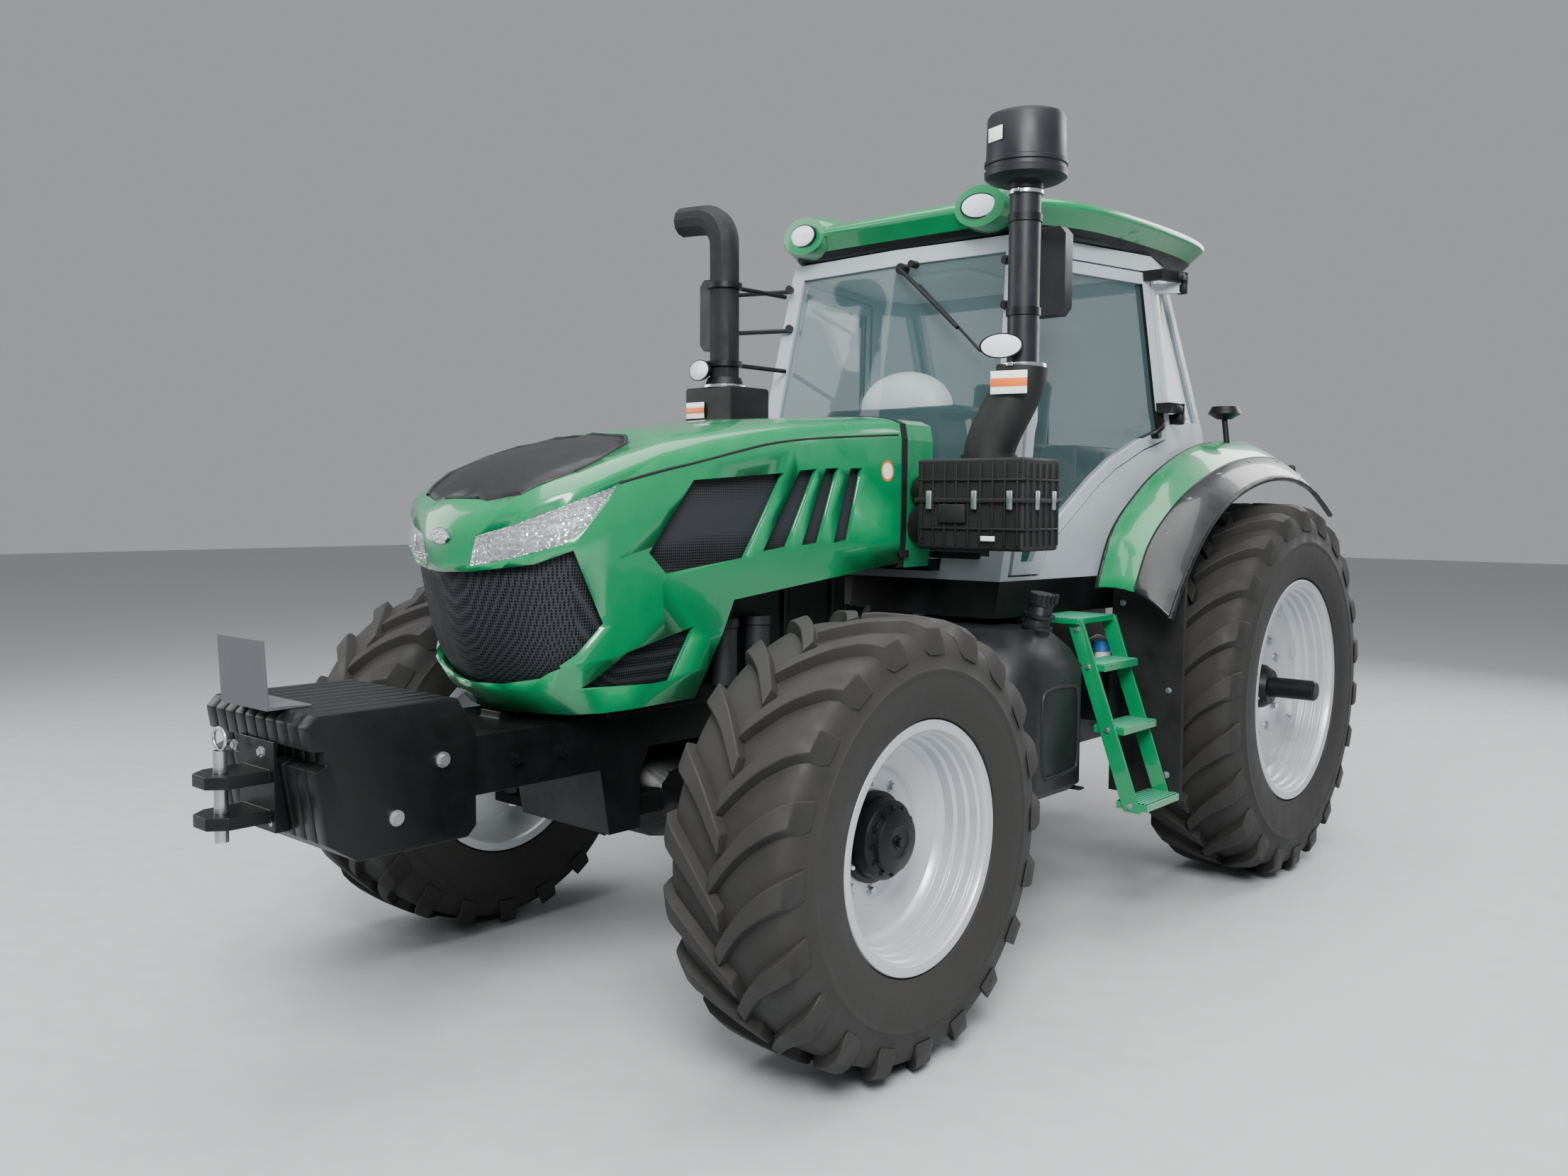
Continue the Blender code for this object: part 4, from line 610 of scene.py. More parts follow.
finished("cowl_panel", "cowl", emerald_enamel, 0, corner=32)
seal = traced("cowl", 0)
low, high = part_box("cowl")
for vert in seal.verts:
    share = (vert.co.y - low.y) / (high.y - low.y)
    vert.co = Vector((vert.co.x * 1.006, -0.2485 + 0.034 * share, 1.46 + (vert.co.z - 1.46) * 1.004))
fit("hood_seal", seal, black_rubber, slot="black_paint", corner=32)
latches = bmesh.new()
for side in (1, -1):
    slab(latches, (side * 0.4275 - 0.004, -0.262, 1.5), (side * 0.4275 + 0.004, -0.202, 1.53), 0.002)
fit("hood_latches", latches, charcoal_abs)

# ---- cab ----
# Welded tube cab: pillars and doors trimmed in light grey moulding over a black sill, the doors on
# outside hinges, tinted safety glass all round and a parked front wiper.

# Sprayed light grey polyurethane trim, dull, with a 1 mm texture.
grey_trim = coated("light_grey_trim", "black_paint", "aeb6bb", "a1a9af", 0.55, 1.0, 0.0002)
satin_black = coated("satin_black_powder", "black_paint", "101112", "0a0b0c", 0.42, 0.8, 0.0001,
    Specular_IOR_Level=0.3)
SILL, HINGES = 1.405, (2.12, 2.7)
cab = traced("cab_frame")
cut(cab, (0, 0, SILL), UP, clear=False)
pillars = fit("cab_pillars", cab, grey_trim, ["cab_frame"], ease=0.006)
pillars.data.materials.append(satin_black)
for face in pillars.data.polygons:
    hinge = abs(face.center.x) > 0.868 or face.center.y < 0.0
    face.material_index = 1 if face.center.z < SILL or hinge else 0

# Green-tinted float glass: clear from outside, with its tint doubled where two panes line up.
tinted_glass = glazing("tinted_float_glass", "4f7173", 0.03, 0.22, 1.52, 0.02)
for name in ("windscreen", "rear_window", "quarter_window_left", "quarter_window_right", "door_glass_left",
        "door_glass_right"):
    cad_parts[name].data.materials.clear()
    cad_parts[name].data.materials.append(tinted_glass)
for label, side in SIDES:
    edge = finished("door_edge_" + label, "door_frame_" + label, satin_black, body="door_" + label, ease=0.004)
    edge.data.materials.append(grey_trim)
    for face in edge.data.polygons:
        face.material_index = 1 if face.center.y < 1.02 or face.center.z > 2.735 else 0
    handle = bmesh.new()
    hose(handle, [(0.872, 0.98, 2.02), (0.905, 0.99, 2.03), (0.905, 1.06, 2.075), (0.875, 1.075, 2.085)], 0.011)
    bar(handle, (0.858, 1.03, 2.02), (0.892, 1.03, 2.02), 0.018)
    for z in HINGES:
        slab(handle, (0.865, 1.155, z + 0.004), (0.917, 1.232, z + 0.04), 0.01)
    hose(handle, [(0.7, 0.4, 1.66), (0.715, 0.6, 1.8), (0.735, 0.8, 1.93)], 0.01)
    fit("door_handle_" + label, handle, satin_black, body="door_" + label, side=side)
    lumps = bmesh.new()
    for z in HINGES:
        slab(lumps, (0.868, 1.192, z - 0.048), (0.918, 1.236, z - 0.002), 0.01)
    fit("hinge_covers_" + label, lumps, satin_black, side=side)

wiper = bmesh.new()
bar(wiper, (0.06, 0.222, 2.722), (0.06, 0.262, 2.722), 0.024)
bar(wiper, (0.12, 0.216, 2.735), (0.12, 0.262, 2.735), 0.016)
hose(wiper, [(0.06, 0.218, 2.722), (0.16, 0.2, 2.64), (0.3, 0.178, 2.52), (0.4, 0.164, 2.435)], 0.009)
hose(wiper, [(0.17, 0.214, 2.64), (0.33, 0.184, 2.5), (0.52, 0.15, 2.33)], 0.006)
slab(wiper, (-0.6, 0.03, 1.49), (0.6, 0.055, 1.52), 0.006)
fit("wiper", wiper, satin_black, ease=0.001)

lining = bmesh.new()
pushed(lining, mm((-555, 345), (555, 345), (735, 1090), (665, 1340), (-665, 1340), (-735, 1090)), "Z", 2.77,
    2.812)
slab(lining, (-0.16, 0.6, 2.735), (0.16, 1.05, 2.775), 0.02)
for x in (-0.42, 0.42):
    bar(lining, (x, 0.62, 2.775), (x, 0.62, 2.755), 0.055, sides=24)
fit("headliner", lining, coated("foam_backed_headliner", "charcoal_plastic", "e4e9ec", "dbe0e4", 0.8, 1.5,
    0.0004), ease=0.004)
mat = bmesh.new()
slab(mat, (-0.66, 0.1, 1.3205), (0.66, 1.6, 1.332), 0.003)
for x in (-0.16, 0.08, 0.18):
    slab(mat, (x - 0.035, 0.5, 1.42), (x + 0.035, 0.52, 1.54), 0.006)
    bar(mat, (x, 0.51, 1.44), (x, 0.45, 1.34), 0.01)
fit("floor_mat", mat, black_rubber, slot="black_paint", ease=0.002)

# ---- roof ----
# Moulded roof shell in body green that overhangs all round, with two pods over the windscreen
# for oval work lamps and a second pair at the rear.

PLAN = mm((0, 198), (300, 198), (500, 203), (620, 235), (700, 320), (800, 520), (835, 800), (850, 1100),
    (850, 1350), (835, 1560), (800, 1680), (740, 1745), (600, 1775), (300, 1795))
PLAN += [(0, 1.8)] + [(-x, y) for x, y in PLAN[:0:-1]]
roof = bmesh.new()
rings = []
for z, inset in mm((2816.5, 120), (2816.5, 85), (2850, 62), (2905, 12), (2914, 2), (2926, 0), (2940, 4),
        (2958, 30), (2975, 75), (2998, 180), (3015, 330), (3024, 520), (3028, 700)):
    share = 1 - inset / 0.85
    rings.append([roof.verts.new((x * share, 1.0 + (y - 1) * share, z)) for x, y in PLAN])
for low, high in zip(rings, rings[1:]):
    for i in range(len(PLAN)):
        j = (i + 1) % len(PLAN)
        roof.faces.new((low[i], low[j], high[j], high[i]))
roof.faces.new(rings[-1])
roof.faces.new(rings[0][::-1])
bmesh.ops.recalc_face_normals(roof, faces=roof.faces)
shell = fit("roof_shell", roof, emerald_enamel, ["cab_roof"], corner=60, rounds=1)
shell.data.materials.append(satin_black)
for face in shell.data.polygons:
    face.material_index = 1 if face.center.z < 2.86 else 0


def work_lamp(label, place, aim, width, tall, pod=None):
    """An oval lamp: a black can with its rim and a white lens; pod is a moulding round it."""
    turn = Matrix.Translation(place) @ facing(aim)
    can = [(-0.045, 0), (-0.04, 0.55), (-0.01, 0.95), (0.004, 1), (0.004, 0.9), (0, 0)]
    lens = [(0.001, 0), (0.001, 0.93), (0.006, 0.9), (0.011, 0.6), (0.013, 0)]
    for name, profile, material in (("can", can, satin_black), ("lens", lens, lit_lens)):
        shape = bmesh.new()
        lathe(shape, profile, "Z", (0, 0, 0), 40)
        bmesh.ops.scale(shape, vec=(width / 2, tall / 2, 1), verts=shape.verts)
        turned(shape, turn)
        fit(f"{label}_{name}", shape, material)
    if pod:
        shape = bmesh.new()
        bmesh.ops.create_uvsphere(shape, u_segments=32, v_segments=16, radius=1.0)
        bmesh.ops.scale(shape, vec=pod, verts=shape.verts)
        bmesh.ops.translate(shape, vec=Vector(place) + Vector((0, pod[1] * 0.6, 0)), verts=shape.verts)
        cut(shape, (0, place[1] + 0.002, 0), (0, -1, 0))
        fit(label + "_pod", shape, emerald_enamel, corner=50)


for label, side in SIDES:
    work_lamp("roof_lamp_front_" + label, (side * 0.47, 0.2, 2.925), (side * 0.12, -1, -0.05), 0.165, 0.1,
        (0.15, 0.36, 0.104))
    work_lamp("roof_lamp_rear_" + label, (side * 0.5, 1.775, 2.88), (side * 0.2, 1, -0.25), 0.13, 0.08)

# ---- driver's place ----
# Sprung seat with cloth cushions, a steering wheel on a tilting column, and an instrument dome
# on a moulded console under the windscreen.

console = traced("dashboard")
cut(console, (0, 0, 2.12), UP)
fit("console", console, charcoal_abs, ["dashboard"], ease=0.012)
dome = bmesh.new()
bmesh.ops.create_uvsphere(dome, u_segments=40, v_segments=20, radius=1.0)
turned(dome, Matrix.Translation((0, 0.365, 2.135)) @ Matrix.Diagonal((0.235, 0.125, 0.16, 1)))
cut(dome, (0, 0, 2.125), DOWN)
fit("instrument_dome", dome, coated("pale_grey_abs", "charcoal_plastic", "f1f5f5", "e8eded", 0.4, 1.5, 0.0001),
    corner=50)
shelf = bmesh.new()
slab(shelf, (-0.36, 0.235, 2.085), (0.36, 0.5, 2.128), 0.018)
slab(shelf, (0.36, 0.9, 1.34), (0.56, 1.3, 1.98), 0.03)
slab(shelf, (-0.56, 0.9, 1.34), (-0.36, 1.3, 1.9), 0.03)
for y in (0.96, 1.04, 1.12):
    bar(shelf, (-0.46, y, 1.9), (-0.46, y - 0.03, 2.02), 0.008)
    bar(shelf, (-0.46, y - 0.03, 2.02), (-0.46, y - 0.036, 2.05), 0.018, 0.014)
fit("side_consoles", shelf, charcoal_abs, ease=0.002)

wheel = bmesh.new()
lathe(wheel, [(0.015 * math.sin(math.tau * i / 12), 0.199 + 0.015 * math.cos(math.tau * i / 12))
    for i in range(12)], "Z", (0, 0, 0), 48)
for angle in (90, 210, 330):
    way = Vector((math.cos(math.radians(angle)), math.sin(math.radians(angle)), 0))
    hose(wheel, [way * 0.03 + Vector((0, 0, -0.01)), way * 0.11 + Vector((0, 0, -0.006)), way * 0.195], 0.011)
bar(wheel, (0, 0, -0.028), (0, 0, 0.014), 0.056, 0.05, 32)
turned(wheel, Matrix.Translation((0, 0.7, 2.06)) @ Matrix.Rotation(math.radians(-32), 4, "X"))
fit("steering_wheel_rim", wheel, satin_black, ["steering_wheel"], body="steering_wheel", corner=45)

# Woven polyester over moulded foam: a fine rib weave with a faint sheen.
seat_cloth = coated("woven_polyester", "seat_cloth", "2c2d31", "222327", 0.9, 1.2, 0.0003, Sheen_Weight=0.4)
embossed(seat_cloth, "TexWave", {"Scale": 60.0, "Distortion": 0.5, "bands_direction": "X"}, "Fac", 0.6, 0.0008)
PRESSURE, BLOWN_STEPS, SEAMS = 4.0, 15, (-0.13, 0.13)


def settled(thing):
    """The mesh that a thing's modifiers make of it, which are then dropped."""
    mesh = bpy.data.meshes.new_from_object(thing.evaluated_get(bpy.context.evaluated_depsgraph_get()))
    thing.modifiers.clear()
    return mesh


def stuffed(name, low, high, tilt, about, swell, stands_for=()):
    """A cushion: a rounded block blown up by a cloth simulation, then pulled in at two sewn channels."""
    shape = bmesh.new()
    slab(shape, Vector(low) + Vector((0.012,) * 3), Vector(high) - Vector((0.012,) * 3), 0.03)
    mesh = bpy.data.meshes.new(name + "_foam")
    shape.to_mesh(mesh)
    shape.free()
    foam = bpy.data.objects.new(name + "_foam", mesh)
    link(foam)
    voxels = foam.modifiers.new("voxels", "REMESH")
    voxels.mode, voxels.voxel_size = "VOXEL", 0.01
    mesh = foam.data = settled(foam)
    start = [vert.co.copy() for vert in mesh.vertices]
    cloth = foam.modifiers.new("cloth", "CLOTH")
    cloth.settings.use_pressure, cloth.settings.uniform_pressure_force = True, PRESSURE
    cloth.settings.effector_weights.gravity = 0.0
    for number in range(1, BLOWN_STEPS + 1):
        bpy.context.scene.frame_set(number)
    mesh = settled(foam)
    bpy.context.scene.frame_set(1)
    shape = bmesh.new()
    shape.from_mesh(mesh)
    bpy.data.objects.remove(foam)
    for vert, before in zip(shape.verts, start):
        moved = vert.co - before
        vert.co = before + moved * min(1, swell / max(moved.length, 1e-9))
        for seam in SEAMS if vert.co.z > (low[2] + high[2]) / 2 else ():
            vert.co.z -= 0.01 * math.exp(-((vert.co.x - seam) / 0.012) ** 2)
    turned(shape, Matrix.Translation(about) @ Matrix.Rotation(math.radians(tilt), 4, "X"))
    return fit(name, shape, seat_cloth, stands_for, corner=60)


stuffed("seat_cushion", (-0.245, -0.25, 0), (0.245, 0.25, 0.135), 0, (0, 0.995, 1.668), 0.012, ["driver_seat"])
stuffed("seat_backrest", (-0.235, -0.27, 0), (0.235, 0.27, 0.11), 81, (0, 1.285, 2.06), 0.012)
pedestal = bmesh.new()
slab(pedestal, (-0.2, 0.83, 1.332), (0.2, 1.23, 1.4), 0.02)
for i in range(5):
    inset, z = 0.008 * (i % 2), 0.045 * i
    slab(pedestal, (-0.17 + inset, 0.86, 1.4 + z), (0.17 - inset, 1.2, 1.442 + z), 0.012)
slab(pedestal, (-0.23, 0.76, 1.625), (0.23, 1.24, 1.668), 0.012)
slab(pedestal, (-0.19, 1.28, 1.8), (0.19, 1.31, 2.2), 0.012)
for side in (-1, 1):
    slab(pedestal, (side * 0.285 - 0.028, 0.92, 1.955), (side * 0.285 + 0.028, 1.26, 1.995), 0.016)
    hose(pedestal, [(side * 0.24, 1.28, 1.85), (side * 0.285, 1.27, 1.88), (side * 0.285, 1.22, 1.96)], 0.014)
fit("seat_pedestal", pedestal, satin_black, slot="seat_cloth", ease=0.001)

# ---- fenders ----
# Pressed inner bands in body green, moulded glossy black extensions bolted along the seam, and flat
# rubber boards that hang before the rear tyres. Lamps stand on the left and right band.

gloss_moulding = coated("black_gloss_moulding", "charcoal_plastic", "17181b", "101113", 0.3, 4.0, 0.00004,
    Coat_Weight=0.3)
FENDER_EDGE = mm((490, 1380, 1370, 1270), (600, 1590, 1540, 1410), (800, 1745, 1685, 1600),
    (1050, 1875, 1800, 1740), (1400, 1985, 1900, 1832), (1750, 2020, 1940, 1850), (2050, 2025, 1930, 1800),
    (2330, 1950, 1850, 1680))
FENDER_STEPS = [0.49 + 1.84 * (i / 32) ** 1.25 for i in range(33)]


def height(y, column):
    """A fender line's height at y, on a smooth curve through its stations."""
    rows = FENDER_EDGE
    i = max(k for k in range(len(rows) - 1) if rows[k][0] <= y + 1e-9)
    pairs = [(rows[max(k - 1, 0)], rows[min(k + 1, len(rows) - 1)]) for k in (i, i + 1)]
    slopes = [(after[column] - before[column]) / (after[0] - before[0]) for before, after in pairs]
    gap = rows[i + 1][0] - rows[i][0]
    t = (y - rows[i][0]) / gap
    return ((2 * t ** 3 - 3 * t ** 2 + 1) * rows[i][column] + (t ** 3 - 2 * t ** 2 + t) * gap * slopes[0] +
        (3 * t ** 2 - 2 * t ** 3) * rows[i + 1][column] + (t ** 3 - t ** 2) * gap * slopes[1])


def arched(shape, low_x, high_x, low_column, high_column):
    """A pressed strip between two fender lines, 12 mm thick, with a slight crown across."""
    rings = []
    for y in FENDER_STEPS:
        ring = []
        for level, shares in ((0, (0, 0.25, 0.5, 0.75, 1)), (-0.012, (1, 0.75, 0.5, 0.25, 0))):
            for share in shares:
                z = height(y, low_column) * (1 - share) + height(y, high_column) * share
                bulge = 0.01 * (4 * share * (1 - share))
                ring.append(shape.verts.new((low_x + (high_x - low_x) * share, y - bulge * 0.5,
                    z + level + bulge)))
        rings.append(ring)
    for low, high in zip(rings, rings[1:]):
        for i in range(10):
            shape.faces.new((low[i], low[(i + 1) % 10], high[(i + 1) % 10], high[i]))
    shape.faces.new(rings[0])
    shape.faces.new(rings[-1][::-1])
    bmesh.ops.recalc_face_normals(shape, faces=shape.faces)


amber_lens = coated("amber_lens", "lamp_lens", "e8871c", "d67612", 0.15, 4.0, 0.0005, Coat_Weight=1.0)
red_lens = coated("red_lens", "lamp_lens", "b3161a", "9c1014", 0.15, 4.0, 0.0005, Coat_Weight=1.0)
for label, side in SIDES:
    band, guard, board = bmesh.new(), bmesh.new(), bmesh.new()
    arched(band, 0.88, 1.049, 1, 2)
    arched(guard, 1.051, 1.205, 2, 3)
    top = [(x, height(0.66, column) - 0.022) for x, column in ((1.19, 3), (1.05, 2), (0.87, 1))]
    pushed(board, [(0.87, 0.5), (1.19, 0.5), *top], "Y", 0.66, 0.682)
    fit("fender_band_" + label, band, emerald_enamel, ["fender_" + label], side=side, corner=40, ease=0.005)
    fit("fender_moulding_" + label, guard, gloss_moulding, ["fender_extension_" + label], side=side, corner=40,
        ease=0.005)
    fit("fender_board_" + label, board, black_rubber, side=side, ease=0.003)
    trim, bolts, lamps, tails = (bmesh.new() for _ in range(4))
    hose(trim, [(1.203, y, height(y, 3) - 0.013) for y in FENDER_STEPS], 0.013)
    hose(trim, [(1.05, y, height(y, 2)) for y in FENDER_STEPS], 0.004)
    hose(trim, [(0.884, y, height(y, 1) - 0.012) for y in FENDER_STEPS], 0.011)
    for y in (0.7, 0.92, 1.22, 1.55, 1.9, 2.2):
        bolt(bolts, (1.085, y, height(y, 2) * 0.78 + height(y, 3) * 0.22 + 0.001), (0.5, 0, 1), 0.01)
    for z in (0.6, 0.95, 1.3):
        for x in (0.92, 1.13):
            bolt(bolts, (x, 0.66, z), (0, -1, 0), 0.01)
    # A round fender lamp's stalk, its cup and its cap.
    bar(trim, (0.9, 1.75, 2.01), (0.885, 1.75, 2.13), 0.014)
    bar(trim, (0.885, 1.75, 2.125), (0.885, 1.75, 2.15), 0.035, 0.075, 32)
    bar(trim, (0.885, 1.75, 2.15), (0.885, 1.75, 2.185), 0.078, 0.06, 32)
    slab(trim, (0.905, 2.315, 1.84), (1.025, 2.345, 1.92), 0.01)
    slab(lamps, (0.975, 2.34, 1.85), (1.015, 2.356, 1.91), 0.006)
    slab(tails, (0.915, 2.34, 1.85), (0.97, 2.356, 1.91), 0.006)
    fit("fender_trim_" + label, trim, satin_black, slot="charcoal_plastic", side=side)
    fit("fender_bolts_" + label, bolts, zinc_steel, side=side)
    fit("tail_lamp_amber_" + label, lamps, amber_lens, side=side)
    fit("tail_lamp_red_" + label, tails, red_lens, side=side)

# ---- tank, battery box and steps ----
# Rotation-moulded fuel tank with a raised frame on its wall and a tapered filler on top; the battery
# box matches it on the right. Folded green steps with perforated grip treads hang outside each.

for name, side, stands_for in (("tank", 1, "fuel_tank"), ("battery_cover", -1, "battery_box")):
    finished(name + "_moulding", stands_for, charcoal_abs, 2, corner=50, ease=0.014)
    relief = bmesh.new()
    corners = mm((992, -100, 680), (992, 130, 680), (992, 150, 720), (992, 150, 980), (992, 120, 1020),
        (992, -100, 1020), (992, -130, 980), (992, -130, 720), (992, -100, 680))
    hose(relief, corners, 0.009)
    hose(relief, mm((400, -328, 700), (740, -328, 700), (760, -328, 740), (760, -328, 1000), (730, -328, 1030),
        (430, -328, 1030), (400, -328, 1000), (400, -328, 700)), 0.009)
    for y in (-0.2, 0.19):
        slab(relief, (0.3, y - 0.02, 0.594), (0.995, y + 0.02, 0.604), 0.003)
    if side > 0:
        bar(relief, (0.897, 0.02, 1.33), (0.905, 0.02, 1.37), 0.052, 0.05, 32)
        for i in range(16):
            angle = math.tau * i / 16
            edge = Vector((0.905 + 0.05 * math.cos(angle), 0.02 + 0.05 * math.sin(angle), 1.332))
            bar(relief, edge, edge + Vector((0.007, 0, 0.036)), 0.0055, sides=6)
        for z in (1.19, 1.235, 1.28):
            bar(relief, (0.855 + (z - 1.13) * 0.23, 0.02, z), (0.857 + (z - 1.13) * 0.23, 0.02, z + 0.012),
                0.059, sides=32)
    fit(name + "_relief", relief, charcoal_abs, side=side)

urea = bmesh.new()
slab(urea, (0.68, 0.545, 0.8), (0.93, 0.652, 1.04), 0.02)
fit("additive_tank", urea, charcoal_abs)
neck, cap = bmesh.new(), bmesh.new()
bar(neck, (0.86, 0.6, 1.03), (0.86, 0.6, 1.105), 0.034, sides=24)
bar(cap, (0.86, 0.6, 1.1), (0.86, 0.6, 1.14), 0.042, 0.038, 24)
fit("additive_neck", neck, coated("natural_polyethylene", "charcoal_plastic", "d9dcd6", "cdd0ca", 0.5, 2.0,
    0.0001), ease=0.002)
fit("additive_cap", cap, coated("blue_cap", "charcoal_plastic", "2d6fb5", "2563a6", 0.4, 2.0, 0.0001),
    ease=0.003)


def step_x(z):
    """The middle of the leaning steps at a height."""
    return 0.92 + 0.36 * (1.26 - z)


# Laser-cut tread sheet: round 12 mm drainage holes in rows, painted with the steps; the holes are dark green
# painted shade, the dark seen through them.
grip_sheet = coated("grip_sheet", "green_paint", "008450", "007645", 0.4, 4.0, 0.0002)
perforated(grip_sheet, 62.0, 0.34, "3f9f7c", "0b2a1e")
for label, side in SIDES:
    finished("steps_steel_" + label, "steps_" + label, emerald_enamel, ease=0.003)
    grips, bolts = bmesh.new(), bmesh.new()
    for z in (0.535, 0.82, 1.06):
        slab(grips, (step_x(z) - 0.062, 0.242, z + 0.0282), (step_x(z) + 0.062, 0.522, z + 0.0315), 0.001)
    slab(grips, (0.74, 0.225, 1.26), (0.945, 0.535, 1.2625), 0.001)
    for z in (0.549, 0.834, 1.074, 1.22):
        for y, way in ((0.235, -1), (0.529, 1)):
            bolt(bolts, (step_x(z), y, z), (0, way, 0), 0.009)
    fit("step_grips_" + label, grips, grip_sheet, side=side)
    fit("step_bolts_" + label, bolts, zinc_steel, side=side)

# ---- air cleaner and intake ----
# Ribbed black moulded filter box on the left of the hood, a fat rubber elbow with steel clamps, and
# a tall dark grey pipe with a round pre-cleaner drum on top.

INTAKE, EXHAUST = (0.88, -0.125, 0), (-0.59, -0.19, 0)
dark_moulding = coated("dark_grey_moulding", "black_paint", "222428", "1c1d21", 0.42, 1.0, 0.0002,
    Specular_IOR_Level=0.3)
finished("filter_box", "air_cleaner", black_rubber, 2, corner=50, ease=0.012)
ribs, clips = bmesh.new(), bmesh.new()
for i in range(6):
    y = -0.285 + 0.045 * i
    slab(ribs, (0.994, y - 0.004, 1.56), (1.006, y + 0.004, 1.86), 0.002)
for i in range(9):
    x = 0.56 + 0.052 * i
    slab(ribs, (x - 0.004, -0.308, 1.56), (x + 0.004, -0.294, 1.86), 0.002)
for z in (1.62, 1.8):
    slab(ribs, (0.55, -0.309, z - 0.004), (1.006, -0.06, z + 0.004), 0.002)
slab(ribs, (0.527, -0.312, 1.715), (1.01, -0.04, 1.733), 0.004)
slab(ribs, (0.64, -0.316, 1.64), (0.76, -0.3, 1.71), 0.006)
hose(ribs, [(0.54, -0.16, 1.69), (0.47, -0.15, 1.66), (0.4, -0.14, 1.6)], 0.062)
for x in (0.6, 0.8, 0.95):
    slab(clips, (x - 0.012, -0.32, 1.69), (x + 0.012, -0.308, 1.76), 0.004)
for y in (-0.22, -0.1):
    slab(clips, (1.004, y - 0.012, 1.69), (1.014, y + 0.012, 1.76), 0.004)
fit("filter_ribs", ribs, black_rubber)
fit("filter_clips", clips, zinc_steel, ease=0.001)
elbow = bmesh.new()
turns = [(i / 12, (i / 12) ** 2 * (3 - i / 6)) for i in range(13)]
hose(elbow, [(0.77 + 0.11 * share, -0.17 + 0.045 * share, 1.88 + 0.34 * up) for up, share in turns], 0.096, 8)
bar(elbow, (0.77, -0.17, 1.875), (0.77, -0.17, 1.895), 0.105, sides=32)
fit("intake_elbow", elbow, black_rubber)
stack = bmesh.new()
lathe(stack, mm((2170, 0), (2170, 58), (2860, 58), (2865, 64), (2885, 64), (2888, 100), (2893, 130),
    (2905, 150), (2925, 152), (2930, 146), (2944, 146), (2948, 152), (2962, 152), (2966, 146), (3115, 143),
    (3128, 136), (3134, 120), (3134, 0)), "Z", INTAKE, 64)
fit("intake_pipe", stack, dark_moulding, ["intake_stack"], corner=35)
bands = bmesh.new()
for z, radius in ((2.215, 0.088), (2.845, 0.066)):
    strap(bands, INTAKE, z, z + 0.014, radius - 0.01, radius)
    slab(bands, (0.87, -0.125 - radius - 0.014, z), (0.9, -0.122 - radius, z + 0.014), 0.003)
bar(bands, (0.77, -0.17, 1.896), (0.77, -0.17, 1.91), 0.088, sides=40)
fit("intake_clamps", bands, bright_metal, slot="silver_paint", ease=0.001)
stays = bmesh.new()
for z in (2.42, 2.76):
    strap(stays, INTAKE, z - 0.014, z + 0.014, 0.055, 0.064, 32)
    bar(stays, (0.86, -0.075, z), (0.7 - 0.14 * (z - 2.42), 0.235, z), 0.01, sides=10)
fit("intake_stays", stays, satin_black)
work_lamp("intake_lamp", (0.85, -0.225, 2.29), (0.25, -1, 0), 0.168, 0.092)
holder = bmesh.new()
bar(holder, (0.866, -0.165, 2.29), (0.853, -0.2, 2.29), 0.014)
fit("intake_lamp_arm", holder, satin_black)
# Blank labels: where they sit, how they turn, half their size and how many layers they have.
LABELS = (("intake_label", (0.892, -0.238, 2.155), 14, (0.069, 0.042), 2),
    ("drum_label", (0.835, -0.264, 3.045), -18, (0.0375, 0.025), 1),
    ("box_label", (0.86, -0.3125, 1.585), 0, (0.03, 0.009), 1),
    ("exhaust_label", (-0.668, -0.293, 2.115), 0, (0.055, 0.035), 2))
LAYERS = (("plain", 0.002, 1, sticker_white), ("stripe", 0.004, 0.36, sticker_orange))
for name, place, turn, (wide, tall), layers in LABELS:
    for part, depth, span, material in LAYERS[:layers]:
        shape = bmesh.new()
        slab(shape, (-wide, -depth, -tall * span), (wide, 0, tall * span), 0.0008)
        turned(shape, Matrix.Translation(place) @ Matrix.Rotation(math.radians(turn), 4, "Z"))
        fit(f"{name}_{part}", shape, material)

# ---- exhaust ----
# Black heat box on the right of the hood and a rolled steel pipe that turns outward at its top, both
# in high-temperature black that has weathered to a dry dark grey.

stove_black = coated("high_temperature_black", "black_paint", "1d1f22", "151618", 0.65, 1.5, 0.0003,
    Specular_IOR_Level=0.3)
finished("heat_box", "exhaust_box", satin_black, 2, corner=50, ease=0.01)
pipe = bmesh.new()
hose(pipe, mm((-590, -190, 2200), (-590, -190, 2840), (-598, -190, 2885), (-622, -190, 2925),
    (-660, -190, 2952), (-710, -190, 2966), (-845, -190, 2972)), 0.066)
fit("exhaust_pipe", pipe, stove_black, ["exhaust_stack"])
details = bmesh.new()
bar(details, (-0.59, -0.19, 2.21), (-0.59, -0.19, 2.26), 0.092, 0.074, 32)
for z in (2.32, 2.66):
    strap(details, EXHAUST, z - 0.012, z + 0.012, 0.06, 0.078)
    bar(details, (-0.575, -0.13, z), (-0.575, 0.2, z), 0.01, sides=10)
for z in (1.66, 1.84, 2.02):
    slab(details, (-0.744, -0.287, z - 0.006), (-0.451, -0.043, z + 0.006), 0.003)
bar(details, (-0.62, -0.235, 2.29), (-0.64, -0.262, 2.29), 0.014)
fit("exhaust_details", details, satin_black)
collar = bmesh.new()
bar(collar, (-0.59, -0.19, 2.214), (-0.59, -0.19, 2.226), 0.1, sides=40)
for x, y in ((-0.68, -0.19), (-0.5, -0.19), (-0.59, -0.28), (-0.59, -0.1)):
    bolt(collar, (x, y, 2.216), UP, 0.009)
fit("exhaust_collar", collar, bright_metal, slot="silver_paint", ease=0.001)
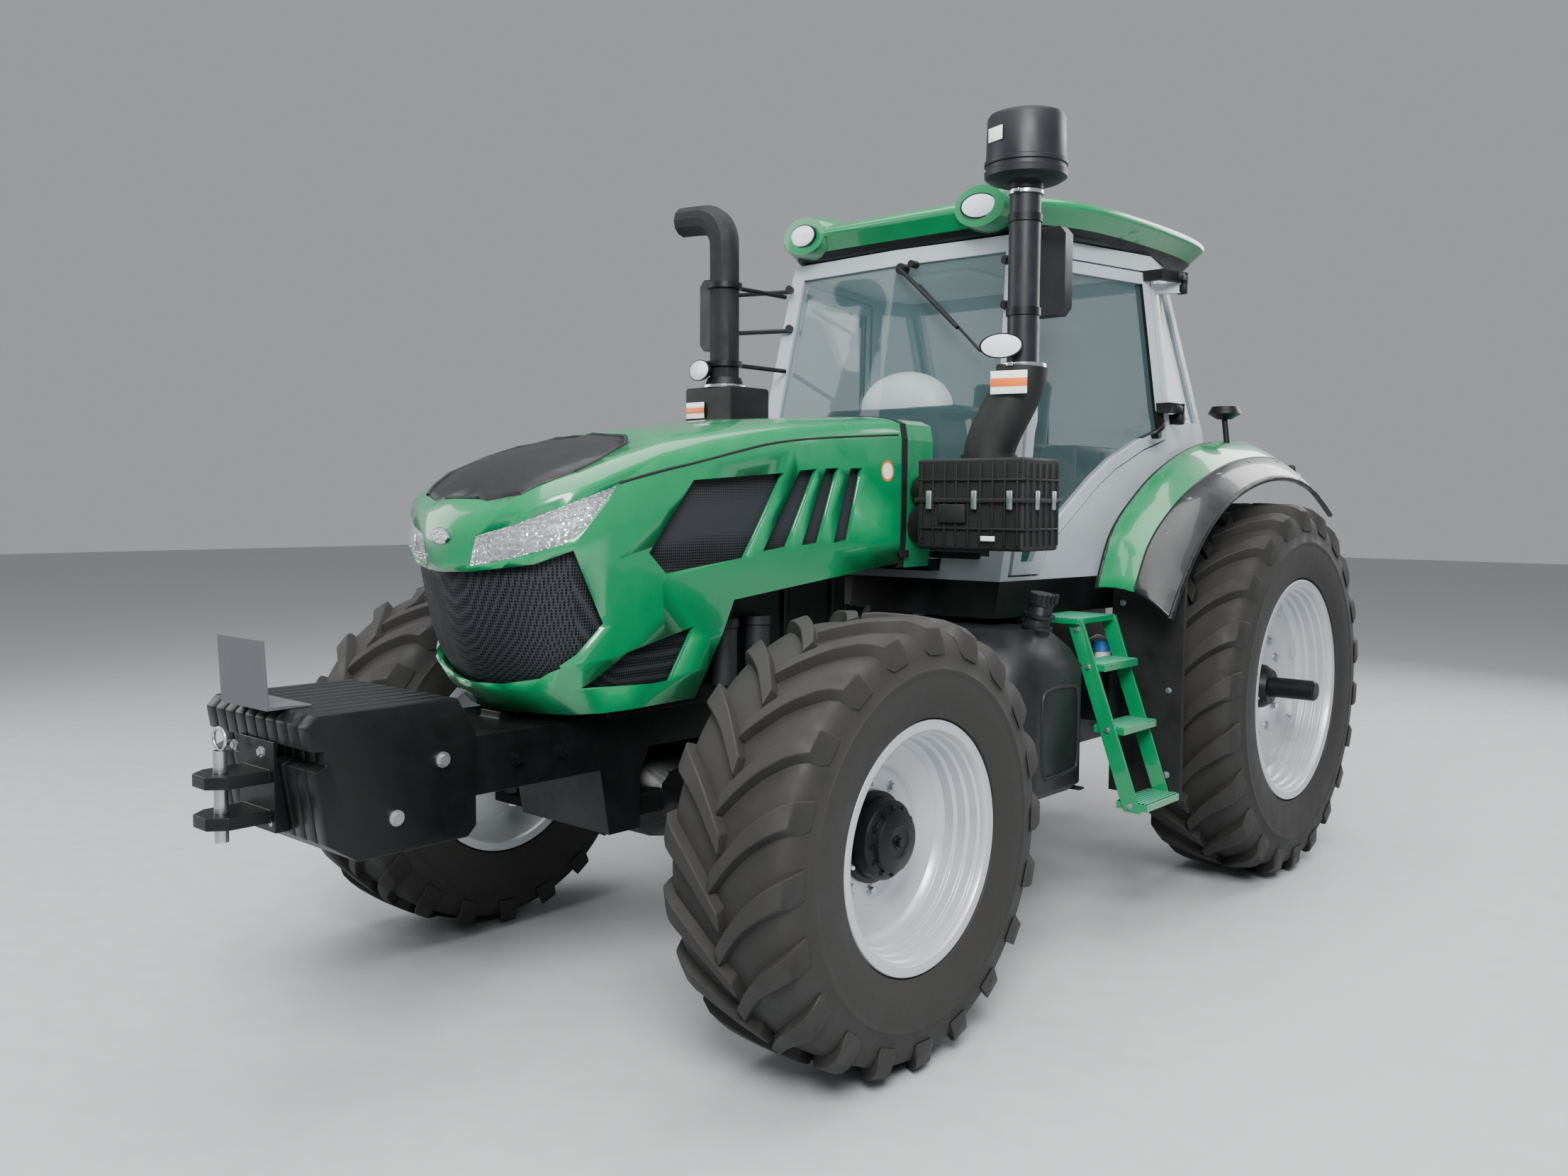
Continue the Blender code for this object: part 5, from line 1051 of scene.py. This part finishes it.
work_lamp("exhaust_lamp", (-0.65, -0.285, 2.29), (-0.25, -1, 0), 0.168, 0.092)

# ---- mirrors ----
# Long moulded mirror heads on two tubes each, with silvered glass on the side that faces the driver.

silvered_glass = coated("silvered_glass", "lamp_lens", "c4ccd2", "bcc4ca", 0.04, 8.0, 0.0, Metallic=1.0)
for label, side, reach in (("left", 1, 0.82), ("right", -1, 0.985)):
    finished("mirror_shell_" + label, "mirror_" + label, charcoal_abs, 2, corner=45, ease=0.018)
    glass, surround = bmesh.new(), bmesh.new()
    slab(glass, (side * reach - 0.07, 0.194, 2.47), (side * reach + 0.07, 0.1965, 2.75), 0.001)
    rim = [(side * reach + x, 0.195, z) for x, z in mm((-62, 2462), (62, 2462), (76, 2478), (76, 2742),
        (62, 2758), (-62, 2758), (-76, 2742), (-76, 2478), (-62, 2462))]
    hose(surround, rim, 0.005)
    for z in (2.52, 2.7):
        bar(surround, (side * 0.575, 0.225, z), (side * 0.59, 0.255, z), 0.018)
    bar(surround, (side * (reach - 0.115), 0.185, 2.5), (side * (reach - 0.115), 0.185, 2.72), 0.008)
    fit("mirror_glass_" + label, glass, silvered_glass)
    fit("mirror_rim_" + label, surround, charcoal_abs)

# ---- rear linkage ----
# Forged lift arms on a cross shaft and lower links with ball ends, all in the same black as the
# castings. The plain lift rods belong to the links.

finished("lift_shaft_and_arms", "lift_arms", cast_iron, body="lift_arms", ease=0.006)
for label, side in SIDES:
    finished("lower_link_bar_" + label, "lower_link_" + label, cast_iron, body="lower_link_" + label,
        ease=0.006)
    ball, pad = bmesh.new(), bmesh.new()
    bar(ball, (0.392, 2.765, 0.56), (0.448, 2.765, 0.56), 0.026, sides=32)
    bar(ball, (0.386, 2.765, 0.56), (0.454, 2.765, 0.56), 0.013, sides=24)
    bolt(pad, (0.4, 2.38, 0.585), UP, 0.014)
    fit("lower_link_ball_" + label, ball, zinc_steel, body="lower_link_" + label, side=side)
    fit("lower_link_bolt_" + label, pad, zinc_steel, body="lower_link_" + label, side=side)
top = bmesh.new()
bar(top, (-0.056, 2.05, 1.03), (0.056, 2.05, 1.03), 0.018)
bar(top, (0, 1.995, 0.66), (0, 2.1, 0.66), 0.046, 0.04, 24)
fit("top_link_pin", top, zinc_steel, ease=0.001)
